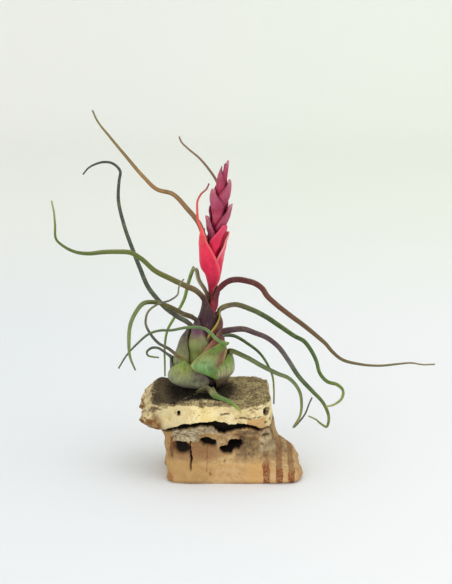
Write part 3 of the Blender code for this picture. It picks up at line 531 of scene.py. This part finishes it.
def blade_rings(layers, leaf, top):
    """The rings in which a leaf's scale turns into its blade, and then the rings of the blade alone."""
    low, high = leaf.reach
    near = leaf.turn[1]
    starts = [scale_middle(layers, leaf, height) for height in (top - 1.5, top, high)]
    centres, tangents, places = blade_line(starts + numbers(leaf.route))
    normals = carried_normals(tangents, np.append(along(AXIS, top)[0] - starts[1][:2], 0.0))
    offset = np.linalg.norm(starts[1] - starts[0])
    length = places[-1]
    widths = np.interp(places / length, *np.array(numbers(leaf.width)).T)
    blend = []
    blade = []
    for centre, tangent, normal, width, place in zip(centres, tangents, normals, widths, places):
        beyond = place - offset
        up = SCALE_SHARE + (1 - SCALE_SHARE) * beyond / (length - offset)
        distance = top - low + place
        if beyond >= BLEND:
            blade.append((*blade_rows(centre, tangent, normal, width, BLADE_SEGMENTS), up, distance))
        elif beyond > 0.3:
            upper, under = blade_rows(centre, tangent, normal, width, SCALE_SEGMENTS)
            inner, outer = scale_rows(layers, leaf, min(top + beyond * 0.7, high))
            part = ease(beyond / BLEND)
            rows = between(inner, upper, part, near), between(outer, under, part, near)
            blend.append((*rows, up, distance))
    return blend, blade


def zipped(first, second, flip):
    """Triangles between two rows of vertex numbers that may differ in count."""
    faces = []
    i = 0
    j = 0
    while i < len(first) - 1 or j < len(second) - 1:
        next_i = (i + 1) / (len(first) - 1)
        next_j = (j + 1) / (len(second) - 1)
        if j == len(second) - 1 or (i < len(first) - 1 and next_i <= next_j):
            face = (first[i], first[i + 1], second[j])
            i += 1
        else:
            face = (first[i], second[j + 1], second[j])
            j += 1
        faces.append(face[::-1] if flip else face)
    return faces


def ring_faces(lower, upper):
    """The faces between two rings of inner and outer rows."""
    faces = zipped(lower[0], upper[0], True) + zipped(lower[1], upper[1], False)
    for end in (0, -1):
        quad = (lower[0][end], lower[1][end], upper[1][end], upper[0][end])
        faces.append(quad if end == 0 else quad[::-1])
    return faces


def cap_faces(ring, flip):
    """The strip of faces that closes a ring between its inner and outer row."""
    inner, outer = ring
    faces = []
    for i in range(len(inner) - 1):
        quad = (inner[i], inner[i + 1], outer[i + 1], outer[i])
        faces.append(quad[::-1] if flip else quad)
    return faces


def strip_mesh(rings):
    """Vertices and faces of a closed body from rings of an inner and an outer row."""
    vertices = []
    numbered = []
    for inner, outer in rings:
        start = len(vertices)
        vertices.extend(inner)
        middle = len(vertices)
        vertices.extend(outer)
        numbered.append((list(range(start, middle)), list(range(middle, len(vertices)))))
    faces = cap_faces(numbered[0], True) + cap_faces(numbered[-1], False)
    for lower, upper in zip(numbered, numbered[1:]):
        faces.extend(ring_faces(lower, upper))
    return vertices, faces


def lathe_mesh(loops, bottom, top):
    """Vertices and faces of a closed body from round loops of equal count and two end points."""
    count = len(loops[0])
    vertices = [bottom]
    for loop in loops:
        vertices.extend(loop)
    vertices.append(top)
    faces = []
    last = len(vertices) - 1
    for i in range(count):
        j = (i + 1) % count
        faces.append((0, 1 + j, 1 + i))
        faces.append((last, last - count + i, last - count + j))
        for level in range(len(loops) - 1):
            base = 1 + level * count
            faces.append((base + i, base + j, base + count + j, base + count + i))
    return vertices, faces


def linear(code):
    """Linear colour of an sRGB hex code."""
    parts = [int(code[i:i + 2], 16) / 255.0 for i in (0, 2, 4)]
    return tuple(c / 12.92 if c <= 0.04045 else ((c + 0.055) / 1.055) ** 2.4 for c in parts) + (1.0,)


class Nodes:
    """Short calls for building one material's node tree. A value is a socket or a constant."""

    def __init__(self, name):
        self.material = bpy.data.materials.new(name)
        self.material.use_nodes = True
        self.tree = self.material.node_tree
        self.world = self.add("TexCoord").outputs["Object"]

    def put(self, socket, value):
        """Gives a socket its value."""
        if isinstance(value, bpy.types.NodeSocket):
            self.tree.links.new(value, socket)
        else:
            socket.default_value = value

    def add(self, kind, inputs=None, **settings):
        """A new shader node with its settings and the values of its inputs."""
        node = self.tree.nodes.new("ShaderNode" + kind)
        for name, value in settings.items():
            setattr(node, name, value)
        for name, value in (inputs or {}).items():
            self.put(node.inputs[name], value)
        return node

    def finished(self, inputs):
        """The material, once its shader's inputs have their values."""
        shader = self.tree.nodes["Principled BSDF"]
        for name, value in inputs.items():
            self.put(shader.inputs[name], value)
        return self.material

    def marks(self, *names):
        """The values that the mesh stores under some names."""
        return [self.add("Attribute", attribute_name=name).outputs["Fac"] for name in names]

    def veins(self, stretch, detail, roughness):
        """Noise drawn out along a leaf, from the mesh's own places."""
        place = self.add("Attribute", attribute_name="place").outputs["Vector"]
        return self.noise(self.vector("MULTIPLY", place, stretch), 1.0, detail, roughness)

    def ramp(self, factor, stops, interpolation="EASE"):
        """Colours over a factor, from a text of places and hex codes."""
        node = self.add("ValToRGB", {0: factor})
        node.color_ramp.interpolation = interpolation
        elements = node.color_ramp.elements
        words = stops.split()
        while len(elements) < len(words) // 2:
            elements.new(0.5)
        for element, place, code in zip(elements, words[::2], words[1::2]):
            element.position = float(place)
            element.color = linear(code)
        return node.outputs[0]

    def noise(self, vector, scale, detail=4.0, roughness=0.55):
        """Noise over a vector."""
        inputs = {"Vector": vector, "Scale": scale, "Detail": detail, "Roughness": roughness}
        return self.add("TexNoise", inputs).outputs[0]

    def cracks(self, vector, scale, low, high):
        """1 along the borders of scattered cells and 0 inside them."""
        inputs = {"Vector": vector, "Scale": scale}
        node = self.add("TexVoronoi", inputs, feature="DISTANCE_TO_EDGE")
        return self.span(node.outputs["Distance"], high, low)

    def vector(self, operation, *values):
        """The vector that a calculation gives."""
        return self.add("VectorMath", dict(enumerate(values)), operation=operation).outputs[0]

    def parts(self, vector):
        """A vector's x, y and z."""
        return self.add("SeparateXYZ", {0: vector}).outputs

    def math(self, operation, *values):
        """The number that a calculation gives."""
        return self.add("Math", dict(enumerate(values)), operation=operation).outputs[0]

    def times(self, product, *others):
        """The product of some values."""
        for other in others:
            product = self.math("MULTIPLY", product, other)
        return product

    def moved(self, value, wander, amount, middle=0.5):
        """A value moved up and down by a noise."""
        return self.math("ADD", value, self.times(self.math("SUBTRACT", wander, middle), amount))

    def span(self, value, low, high, out_low=0.0, out_high=1.0):
        """A value eased from one range into another and kept inside it."""
        inputs = {"Value": value, "From Min": low, "From Max": high, "To Min": out_low, "To Max": out_high}
        return self.add("MapRange", inputs, clamp=True, interpolation_type="SMOOTHSTEP").outputs[0]

    def mix(self, amount, first, second, blend="MIX"):
        """A mix of two colours."""
        inputs = {0: amount, 6: first, 7: second}
        return self.add("Mix", inputs, data_type="RGBA", blend_type=blend).outputs[2]

    def paint(self, colour, code, *amounts):
        """A colour covered with another by the product of the amounts."""
        return self.mix(self.times(*amounts), colour, linear(code))

    def bump(self, height, strength, distance, below=None):
        """A bump, on top of an earlier one if given."""
        inputs = {"Height": height, "Strength": strength, "Distance": distance}
        if below is not None:
            inputs["Normal"] = below
        return self.add("Bump", inputs).outputs[0]


def leaf_surface(name, stops, seed, bloom=0.15, flush=None, one_sided=False, rim="6a4a34", rim_share=0.35,
                 streak=0.3, mottling=1.0):
    """Living leaf: colour along it, streaks along its veins, a dusting of grey scales and a dry rim."""
    n = Nodes(name)
    up, across, inside = n.marks("up", "across", "inside")
    world = n.vector("ADD", n.world, (seed, seed * 0.7, seed * 1.3))
    colour = n.ramp(n.moved(up, n.noise(world, 110.0, 3.0), 0.14), stops, "LINEAR")
    if flush:
        share, code = flush
        blotch = n.noise(world, 75.0, 4.0, 0.6)
        on_scale = n.span(up, 0.34, 0.24)
        if one_sided:
            on_scale = n.times(on_scale, n.span(across, 0.05, 0.7), n.span(up, 0.08, 0.17))
            blotch = n.math("ADD", blotch, 0.12)
        colour = n.paint(colour, code, n.span(blotch, 0.46, 0.62, 0.0, share), on_scale)
    streaks = n.veins((1.9, 0.055, 1.0), 5.0, 0.6)
    shade = n.span(streaks, 0.34, 0.62, 1.0 - streak, 1.0 + 0.2 * streak)
    colour = n.mix(1.0, colour, shade, "MULTIPLY")
    mottle = n.noise(world, 300.0, 4.0, 0.6)
    colour = n.paint(colour, "a8a870", n.span(mottle, 0.5, 0.7, 0.0, 0.16 * mottling))
    colour = n.paint(colour, "2c2219", n.span(mottle, 0.5, 0.3, 0.0, 0.4 * mottling))
    colour = n.paint(colour, "a8a070", inside, 0.25)
    edge = n.span(n.moved(n.math("ABSOLUTE", across), mottle, 0.12), 0.86, 0.97, 0.0, rim_share)
    colour = n.paint(colour, rim, edge, n.span(up, 0.36, 0.29, 0.15, 1.0))
    scurf = n.noise(world, 2600.0, 2.0, 0.7)
    colour = n.paint(colour, "c0c4b4", n.span(scurf, 0.5, 0.68, 0.0, bloom))
    normal = n.bump(scurf, 0.25, 0.00012, n.bump(streaks, 0.35, 0.0003))
    return n.finished({"Base Color": colour, "Normal": normal, "Roughness": 0.5, "Specular IOR Level": 0.28,
                       "Sheen Weight": 0.04, "Sheen Roughness": 0.5})


def bract_surface(name, stops, seed, tint="e07a84", tint_share=0.25, dull=0.0, light=0.18):
    """Bract: waxy colour along it, fine veins, a paler or duskier rim and a grey bloom where it is dull."""
    n = Nodes(name)
    up, across = n.marks("up", "across")
    colour = n.ramp(n.moved(up, n.noise(n.world, 210.0 + seed, 3.0), 0.14), stops, "LINEAR")
    veins = n.veins((3.2, 0.09, 1.0), 4.0, 0.55)
    colour = n.paint(colour, "6a1028", n.span(veins, 0.52, 0.3, 0.0, 0.35))
    colour = n.paint(colour, "f08a94", n.span(veins, 0.52, 0.72, 0.0, light))
    blotch = n.noise(n.world, 260.0, 4.0, 0.6)
    colour = n.paint(colour, "b487a0", n.span(blotch, 0.46, 0.68, 0.0, dull))
    colour = n.paint(colour, "5c1630", n.span(blotch, 0.5, 0.3, 0.0, 0.25 + 0.3 * dull))
    colour = n.paint(colour, tint, n.span(n.math("ABSOLUTE", across), 0.74, 1.0, 0.0, tint_share))
    return n.finished({"Base Color": colour, "Normal": n.bump(veins, 0.3, 0.0003), "Roughness": 0.45,
                       "Specular IOR Level": 0.3, "Subsurface Weight": 0.15, "Subsurface Scale": 0.5,
                       "Subsurface Radius": (0.003, 0.0008, 0.0008)})


def linked(name, data):
    """A new object in the scene."""
    thing = bpy.data.objects.new(name, data)
    bpy.context.scene.collection.objects.link(thing)
    return thing


def add_piece(name, vertices, faces, surface, node):
    """One closed, smooth-shaded piece that stands for a CAD node."""
    mesh = bpy.data.meshes.new(name)
    mesh.from_pydata([tuple(float(c) * MM for c in v) for v in vertices], [], faces)
    shape = bmesh.new()
    shape.from_mesh(mesh)
    bmesh.ops.recalc_face_normals(shape, faces=shape.faces)
    shape.to_mesh(mesh)
    shape.free()
    mesh.shade_smooth()
    mesh.materials.append(surface)
    piece = linked(name, mesh)
    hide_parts(node)
    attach(piece, "root")
    return piece


def store(mesh, name, values, kind="FLOAT"):
    """A value for every vertex as a mesh attribute."""
    layer = mesh.attributes.new(name, kind, "POINT")
    field = "vector" if kind == "FLOAT_VECTOR" else "value"
    layer.data.foreach_set(field, np.ravel(values).astype(np.float32))


def leaf_piece(leaf, rings, surface):
    """The fine mesh of one leaf or bract with the values that its material reads."""
    vertices, faces = strip_mesh([ring[:2] for ring in rings])
    piece = add_piece("fine_" + leaf.name, vertices, faces, surface, leaf.name)
    up, place, across, inside = [], [], [], []
    for inner, outer, share, distance in rings:
        for row, value in ((inner, 1.0), (outer, 0.0)):
            girth = run(row)
            girth -= girth[-1] / 2
            up.extend([share] * len(row))
            inside.extend([value] * len(row))
            across.extend(np.linspace(-1, 1, len(row)))
            place.extend((reach, distance, value * 40.0) for reach in girth)
    for name, values in (("up", up), ("across", across), ("inside", inside)):
        store(piece.data, name, values)
    store(piece.data, "place", place, "FLOAT_VECTOR")


def build_plant():
    """All bracts and leaves in the part's own order."""
    layers = Layers()
    for number, leaf in enumerate(BRACTS + LEAVES):
        layers.settle()
        top = leaf.reach[1] - (LEAD if leaf.route else 0.0)
        scale = scale_rings(layers, leaf, top)
        blend, blade = blade_rings(layers, leaf, top) if leaf.route else ([], [])
        if leaf in LEAVES:
            surface = leaf_surface(leaf.name, leaf.stops, number * 0.37, **leaf.look)
        else:
            surface = bract_surface(leaf.name, leaf.stops, number * 3.0, **leaf.look)
        leaf_piece(leaf, scale + blend + blade, surface)
        layers.cover(leaf)
        if leaf.route:
            near = scale[-3:] + blend + blade[:RAISING_RINGS]
            layers.cover_points(np.concatenate([row for ring in near for row in ring[:2]]))


def build_stem():
    """The stem at a fine step, with painted shade on its lower part inside the leaves."""
    heights = np.concatenate([np.linspace(45, 57, 25), np.linspace(58, 158, 101)])
    angles = np.arange(40) * 9.0
    loops = [on_stem(angles, height, along(STEM_RADIUS, height)[0, 0]) for height in heights]
    vertices, faces = lathe_mesh(loops, *(on_stem(0.0, height, 0.0)[0] for height in STEM_ENDS))
    n = Nodes("flower_stalk")
    fibres = n.noise(n.vector("MULTIPLY", n.world, (900.0, 900.0, 60.0)), 1.0, 4.0)
    colour = n.ramp(fibres, "0.3 5c1a2c 0.7 9a3a44")
    # Painted shade: the stalk turns near-black below 80 to 92 mm, where the leaves close round it.
    colour = n.paint(colour, "241a14", n.span(n.parts(n.world)[2], 0.092, 0.080))
    surface = n.finished({"Base Color": colour, "Normal": n.bump(fibres, 0.3, 0.0002), "Roughness": 0.6})
    add_piece("fine_stem", vertices, faces, surface, "stem")


def cork_roughness(points, seed):
    """A repeatable roughness between about -1 and 1 from waves in many directions."""
    waves = np.random.RandomState(seed)
    total = np.zeros(len(points))
    for scale, share in CORK_WAVES:
        for _ in range(5):
            direction = unit(waves.normal(size=3)) * 2 * math.pi / scale
            total += share * np.sin(points @ direction + waves.uniform(0, 2 * math.pi))
    return total / 3.0


def cork_side(level, azimuths):
    """One contour of the cork's side: a squarish oval with its own middle and half sizes."""
    height, x, y, half_x, half_y, square = level
    c = np.cos(azimuths)
    s = np.sin(azimuths)
    radii = (np.abs(c / half_x) ** square + np.abs(s / half_y) ** square) ** (-1.0 / square)
    return np.stack([x + radii * c, y + radii * s, np.full(c.shape, float(height))], axis=1)


def under_bulb(points):
    """The greatest height at each point that leaves the bulb clear."""
    return along(BULB_SEAT, np.hypot(points[:, 0] - AXIS[0][1], points[:, 1]))[:, 0]


def cork_top(points):
    """Heights of the cork's broken top: a trough for the bulb between a left ridge and a right block."""
    heights = np.full(len(points), CORK_FLOOR)
    for x, y, reach_x, reach_y, rise in CORK_RISES:
        away = ((points[:, 0] - x) / reach_x) ** 2 + ((points[:, 1] - y) / reach_y) ** 2
        heights += rise * np.exp(-away)
    heights += 0.5 * cork_roughness(points, 11)
    return np.minimum(heights, under_bulb(points))


def fractal(points, scale, octaves=4, seed=0.0):
    """Fractal noise of about -1 to 1 at every point, with features of the given size."""
    shift = Vector((seed, seed * 1.7, -seed))
    values = [noise.fractal(Vector(p) / scale + shift, 0.8, 2.1, octaves) for p in points.tolist()]
    return np.array(values)


def cells(points, scale, seed=0.0):
    """Distance to the nearest point of a scattered set, about 0 at the points and 1 between them."""
    shift = Vector((seed, -seed, seed * 2.0))
    return np.array([noise.voronoi(Vector(p) / scale + shift)[0][0] for p in points.tolist()])


def patch(x, z, left, right, low, high, soft=0.9, fade=0.9):
    """1 inside a rectangle of the cork's side and 0 outside it, with soft borders and a soft top."""
    inside = ease((x - left) / soft + 0.5) * ease((right - x) / soft + 0.5)
    return inside * ease((z - low) / soft + 0.5) * ease((high - z) / fade + 0.5)


def hollow_at(x, z, hollow):
    """How deep one hollow is at each place: flat inside, with steep walls."""
    middle_x, middle_z, reach_x, reach_z, depth, tilt = hollow
    dx = (x - middle_x) / reach_x
    dz = (z - middle_z - tilt * (x - middle_x)) / reach_z
    return depth * ease((1.25 - np.hypot(dx, dz)) / 0.5)


def cork_stains(x, z):
    """How strongly each place of the cork's side is streaked red-brown."""
    stain = np.zeros(len(x))
    for left, right, low, high, share in CORK_STAINS:
        streak = patch(x, z, left, right, low, high, 1.1, 0.35 * (high - low))
        stain = np.maximum(stain, share * streak)
    return stain


def cork_zones(points, front):
    """Where the cork's side is slab, crumbly, worn, stained or flushed, and how far it is pushed in."""
    rough = fractal(points, 4.2, 4, 3.0)
    other = fractal(points, 4.2, 4, 13.0)
    fine = fractal(points, 1.9, 4, 8.0)
    x = points[:, 0] + 0.9 * rough
    z = points[:, 2] + 0.75 * other
    middle, thickness = along(CORK_CREVICE, x).T
    gap = ease((1.3 - np.abs(z - middle) / thickness) / 0.5)
    slab = ease((z - middle) / 1.2 + 0.5)
    block = 1 - slab
    carving = 5.2 * gap * (0.45 + 0.55 * front)
    crumbly = np.zeros(len(x))
    for left, right, low, high, push, crumbs in CORK_FRAGMENTS:
        share = patch(x + 1.2 * fine, z + 1.1 * rough, left, right, low, high) * front * (1 - gap) * block
        carving -= push * share
        crumbly = np.maximum(crumbly, share * crumbs)
    carving += crumbly * (1.5 * cells(points, 2.0, 2.0) - 0.5)
    for hollow in CORK_HOLLOWS:
        carving = np.maximum(carving, front * hollow_at(x, z, hollow))
    carving += slab * (0.8 * cells(points * (1.0, 1.0, 0.45), 4.5, 21.0) - 0.25 + 0.5 * np.abs(rough))
    carving += 0.42 * np.abs(fine) * (0.3 + 0.7 * np.exp(-((z - 22) / 8.0) ** 2)) + 0.1 * fine
    pores = np.clip(0.36 - cells(points * (1.0, 1.0, 0.8), 1.4, 5.0), 0, 1) * 2.4
    carving += 0.5 * pores * (0.15 + 0.85 * slab * ease(1.6 * fractal(points, 10.0, 3, 1.0) + 0.35))
    stain = cork_stains(points[:, 0] + 0.6 * rough, z + 1.6 * other)
    grooves = np.clip(fractal(points * (1.0, 1.0, 0.05), 2.6, 3, 4.0), -1, 1)
    carving += (0.35 * grooves + 0.35 * stain) * np.clip((points[:, 0] - 9) / 6.0, 0, 1) * block
    worn = patch(x, z, 0.5, 60, 12.5, 27.5, 3.0) * block
    flushed = patch(x, z, -28, -8.5, 12.5, 19.5, 2.5, 2.5) * block
    carving += ease((-35.5 - points[:, 0]) / 5.0) * (1.4 * cells(points, 2.6, 31.0) - 0.75)
    return carving, dict(slab=slab, crumbly=crumbly, stain=stain, worn=worn, flushed=flushed)


def cork_fine_top(points):
    """The bark's broken upper side at the fine step, still clear of the bulb."""
    rough = 0.5 * fractal(points, 5.0, 5, 6.0) + 0.45 * fractal(points, 1.6, 3, 9.0)
    pits = np.clip(0.38 - cells(points, 2.2, 7.0), 0, 1) * 3.0
    return np.minimum(cork_top(points) + rough - 0.55 * pits - 0.35, under_bulb(points) - 0.02)


def even_azimuths(count, length, depth, square):
    """Azimuths that space the points of a squarish oval evenly."""
    dense = np.linspace(0, 2 * math.pi, 4001)
    steps = run(cork_side((0, 0, 0, length, depth, square), dense))
    return np.interp(np.arange(count) * steps[-1] / count, steps, dense)


def cork_loop(height, shape, azimuths):
    """One carved contour of the cork's side, and its zones."""
    loop = cork_side((height, *shape), azimuths)
    if height > 0.5:
        outwards = unit(loop[:, :2] - shape[:2])
        loop[:, :2] += outwards * cork_roughness(loop, 5)[:, None] * min(height - 0.5, 1.0)
    tangent = np.roll(loop[:, :2], -1, axis=0) - np.roll(loop[:, :2], 1, axis=0)
    normal = unit(np.stack([tangent[:, 1], -tangent[:, 0]], axis=1))
    front = np.clip((-normal[:, 1] - 0.2) / 0.5, 0, 1)
    carving, zones = cork_zones(loop, front)
    carving = carving * min(max(height - 0.2, 0.0) / 1.5, 1.0)
    rounding = 0.9 * (1 - np.clip((CORK_RIM - height) / 1.5, 0.0, 1.0)) ** 2
    loop[:, :2] -= normal * (carving + rounding)[:, None]
    # The cavity mark is how far each place is pushed in; the material paints shade from it.
    zones["cavity"] = np.clip(carving / 4.0, -1, 1)
    return loop, zones


def build_cork():
    """The chunk of bark at a fine step, with its crevice, hollows, pores and crumbling fragments."""
    azimuths = even_azimuths(CORK_POINTS, 33.0, 22.5, 4.5)
    levels = np.concatenate([[0.0, 0.25, 0.6], np.linspace(1.0, CORK_RIM, CORK_SIDE_LOOPS)])
    shapes = along(CORK_LEVELS, levels)
    sides = [cork_loop(height, shape, azimuths) for height, shape in zip(levels, shapes)]
    loops = [loop for loop, zones in sides]
    rim = loops[-1]
    rim[:, 2] = np.maximum(cork_fine_top(rim) - 0.5, 36.0)
    middle = np.array(CORK_LEVELS[-1][1:3])
    for share in np.linspace(0.99, 0.02, CORK_TOP_LOOPS):
        loop = rim.copy()
        loop[:, :2] = middle + (rim[:, :2] - middle) * share
        loop[:, 2] = cork_fine_top(loop)
        loops.append(loop)
    bottom = np.array([*CORK_LEVELS[0][1:3], 0.0])
    vertices, faces = lathe_mesh(loops, bottom, np.array([*middle, loops[-1][:, 2].mean()]))
    piece = add_piece("fine_cork_bark", vertices, faces, cork_surface(), "cork_bark")
    for name in CORK_MARKS:
        side = [zones[name] for loop, zones in sides]
        top = np.full(CORK_TOP_LOOPS * CORK_POINTS, float(name == "slab"))
        store(piece.data, name, np.concatenate([[0.0], *side, top, [0.0]]))


class CorkNodes(Nodes):
    """The cork's node tree, with what all of its colours read."""

    def __init__(self):
        super().__init__("cork_bark")
        self.x, self.y, self.z = self.parts(self.world)
        self.cavity, self.slab, self.crumbly, self.stain, self.worn, self.flushed = self.marks(*CORK_MARKS)
        self.broad = self.noise(self.world, 70.0, 4.0, 0.6)
        self.medium = self.noise(self.world, 260.0, 5.0, 0.65)
        self.fine = self.noise(self.world, 1100.0, 4.0, 0.7)


def cork_cream(n):
    """The slab's cream, dirtier at the left."""
    cream = n.ramp(n.medium, "0.25 b89a66 0.4 dcc48e 0.58 efdeae 0.8 f8ecc4")
    left = n.span(n.moved(n.x, n.broad, 0.02, 0.0), -0.006, -0.026)
    return n.paint(cream, "a89468", left, 0.5, n.span(n.medium, 0.35, 0.6))


def cork_splits(n):
    """Where fine splits run through the cork's worn, crumbly and ragged places."""
    wander = n.add("TexNoise", {"Scale": 240.0, "Detail": 3.0}).outputs["Color"]
    bent = n.vector("MULTIPLY_ADD", wander, (0.006, 0.006, 0.006), n.world)
    broken = n.math("MAXIMUM", n.times(n.worn, n.span(n.z, 0.0155, 0.020)), n.times(n.crumbly, 0.7))
    broken = n.math("MAXIMUM", broken, n.span(n.x, -0.034, -0.042, 0.0, 0.7))
    return n.times(n.cracks(bent, 230.0, 0.015, 0.09), broken, n.span(n.broad, 0.36, 0.5))


def cork_block(n):
    """The smooth block's tan, browner at the left."""
    tan = n.ramp(n.medium, "0.25 b08452 0.42 c49c68 0.6 cda878 0.85 dcbc8c")
    return n.paint(tan, "a07c46", n.span(n.x, -0.008, -0.017, 0.0, 0.45))


def cork_side_colour(n, cream, splits):
    """The cork's side: the slab over the block, what is flushed, worn, split or stained on them, and painted
    shade on the left end.
    """
    facet = n.times(n.span(n.x, 0.0050, 0.0066), n.span(n.x, 0.0158, 0.0146),
                    n.span(n.moved(n.z, n.broad, 0.004, 0.0), 0.0372, 0.0360))
    side = n.paint(n.mix(n.slab, cork_block(n), cream), "cca066", facet, 0.85)
    side = n.paint(side, "a8744e", n.flushed, n.span(n.broad, 0.35, 0.6, 0.25, 0.65))
    brown = n.ramp(n.medium, "0.3 5c4632 0.48 8e7050 0.62 a8865e 0.8 c4a478")
    side = n.mix(n.times(n.worn, n.span(n.broad, 0.36, 0.56, 0.45, 0.95)), side, brown)
    grit = n.noise(n.vector("MULTIPLY", n.world, (620.0, 620.0, 260.0)), 1.0, 4.0, 0.65)
    crumb = n.ramp(grit, "0.3 3a2c20 0.38 8c785a 0.46 c6b28c 0.62 e2d4b0")
    side = n.mix(n.span(n.crumbly, 0.15, 0.5), side, crumb)
    side = n.paint(side, "33231a", splits, 0.85)
    # Painted shade: the left end, turned away from the key light, is browned.
    side = n.paint(side, "94764e", n.span(n.x, -0.041, -0.046, 0.0, 0.55))
    speckle = n.span(n.fine, 0.36, 0.52, 0.35, 1.0)
    side = n.paint(side, "7c3f20", n.span(n.stain, 0.15, 0.8, 0.0, 0.92), speckle)
    side = n.paint(side, "7c5228", n.span(n.x, -0.0345, -0.038), n.span(n.z, 0.038, 0.033),
                   n.span(n.medium, 0.4, 0.55, 0.65, 1.0))
    yellow = n.span(n.math("ABSOLUTE", n.math("ADD", n.x, 0.013)), 0.014, 0.002)
    side = n.paint(side, "f2d88c", yellow, n.span(n.broad, 0.4, 0.6), n.slab, 0.5)
    return n.paint(side, "5a3f22", n.span(n.fine, 0.41, 0.31), 0.5)


def cork_top_colour(n, cream):
    """The bark on top: grey and specked, with painted shadow of the bulb in the trough and under the bulb,
    cream at the left.
    """
    grey = n.ramp(n.medium, "0.3 54462f 0.45 8e7c58 0.6 b4a270 0.8 ccbc8c")
    top = n.paint(grey, "7a6a50", n.span(n.broad, 0.4, 0.65, 0.0, 0.4))
    top = n.paint(top, "2c2218", n.span(n.fine, 0.49, 0.37), 0.85)
    top = n.paint(top, "d8c890", n.span(n.fine, 0.56, 0.66), 0.5)
    # Painted shadow of the bulb: the top's left half, behind its front edge, is darkened.
    top = n.paint(top, "3e3026", n.span(n.x, -0.001, -0.010), n.span(n.y, -0.0245, -0.020), 0.82)
    # Painted shadow under the bulb: the top turns near-black within about 15 to 20 mm of its foot.
    bulb = {0: n.world, 1: (-0.0165, -0.004, 0.045)}
    away = n.add("VectorMath", bulb, operation="DISTANCE").outputs["Value"]
    top = n.paint(top, "120d09", n.span(away, 0.0205, 0.0145, 0.0, 0.85))
    return n.mix(n.span(n.moved(n.x, n.medium, 0.012), -0.040, -0.044), top, cream)


def cork_surface():
    """Cork: cream slab, tan smooth block, red-brown streaks, grey bark on top, painted shade in its crevice
    and hollows.
    """
    n = CorkNodes()
    cream = cork_cream(n)
    splits = cork_splits(n)
    slope = n.parts(n.add("NewGeometry").outputs["Normal"])[2]
    upper = n.times(n.span(slope, 0.22, 0.5), n.span(n.z, 0.030, 0.036, 0.35, 1.0))
    colour = n.mix(upper, cork_side_colour(n, cream, splits), cork_top_colour(n, cream))
    # Painted shade: places pushed in by the crevice and hollows go brown, and near-black the deeper they are.
    colour = n.paint(colour, "6a4c30", n.span(n.cavity, 0.10, 0.3, 0.0, 0.5))
    colour = n.paint(colour, "17110b", n.span(n.cavity, 0.3, 0.75))
    grain = n.bump(n.medium, 0.5, 0.0006)
    grain = n.bump(n.math("SUBTRACT", 1.0, splits), 0.5, 0.0007, grain)
    grain = n.bump(n.fine, 0.6, 0.0003, grain)
    return n.finished({"Base Color": colour, "Normal": grain, "Roughness": 0.92, "Specular IOR Level": 0.2})


def stage_surface():
    """The stage: a cool pale table that turns into a warmer pale wall without an edge, with painted shade
    making the table darker towards the left.
    """
    n = Nodes("stage_sweep")
    x, y, z = n.parts(n.world)
    # Painted shade and light: the table darkens towards the left and brightens towards the right; the wall
    # barely changes.
    right = n.span(x, -0.25, 0.25)
    table = n.mix(right, linear("dfe1e3"), linear("e9e9e9"))
    wall = n.mix(right, linear("e7e7e1"), linear("e9ece2"))
    colour = n.mix(n.span(n.math("ADD", y, z), 0.20, 0.68), table, wall)
    return n.finished({"Base Color": colour, "Roughness": 0.8, "Specular IOR Level": 0.1})


def build_stage():
    """A pale table that sweeps up into a pale wall behind."""
    start = 0.95
    bend = 0.45
    turns = np.arange(1, 25) / 24 * math.pi / 2
    profile = [(-8.0, 0.0), (-0.5, 0.0), (start, 0.0)]
    profile += [(start + bend * math.sin(turn), bend - bend * math.cos(turn)) for turn in turns]
    profile.append((start + bend, 3.0))
    vertices = [(across, y, z) for across in (-12.0, 12.0) for y, z in profile]
    count = len(profile)
    mesh = bpy.data.meshes.new("stage_sweep")
    mesh.from_pydata(vertices, [], [(i, count + i, count + i + 1, i + 1) for i in range(count - 1)])
    mesh.shade_smooth()
    mesh.materials.append(stage_surface())
    sweep = linked("stage_sweep", mesh)


def aimed(name, data, place, target):
    """A light or camera at a place, turned towards a target."""
    thing = linked(name, data)
    thing.location = place
    thing.rotation_euler = (Vector(target) - Vector(place)).to_track_quat("-Z", "Y").to_euler()
    return thing


def area_light(name, place, size, power, colour):
    """A soft square light that faces the plant."""
    data = bpy.data.lights.new(name, "AREA")
    data.shape = "RECTANGLE"
    data.size = size
    data.size_y = size
    data.energy = power
    data.color = colour
    aimed(name, data, place, (-0.01, 0, 0.07))


def build_lights():
    """Soft studio light: a broad key from the upper right, and an even pale surround."""
    world = bpy.data.worlds.new("surround")
    world.use_nodes = True
    surround = world.node_tree.nodes["Background"].inputs
    surround["Color"].default_value = (0.97, 0.99, 1.0, 1.0)
    surround["Strength"].default_value = 1.08
    bpy.context.scene.world = world
    area_light("key", (0.42, -0.25, 0.85), 0.7, 1.7, (1.0, 0.99, 0.97))
    area_light("fill", (-0.7, -0.8, 0.5), 0.8, 1.8, (0.97, 0.99, 1.0))


def build_camera():
    """The photograph's camera: 15 degrees above, 800 mm away."""
    tilt = math.radians(15.0)
    aim = Vector((-0.0045, 0.0, 0.0932))
    place = aim + 0.8 * Vector((0.0, -math.cos(tilt), math.sin(tilt)))
    data = bpy.data.cameras.new("camera")
    data.lens = 98.63
    data.sensor_width = 36.0
    data.clip_start = 0.02
    bpy.context.scene.camera = aimed("camera", data, place, aim)
    bpy.context.scene.view_settings.view_transform = "Standard"


build_cork()
build_stem()
build_plant()
build_stage()
build_lights()
build_camera()
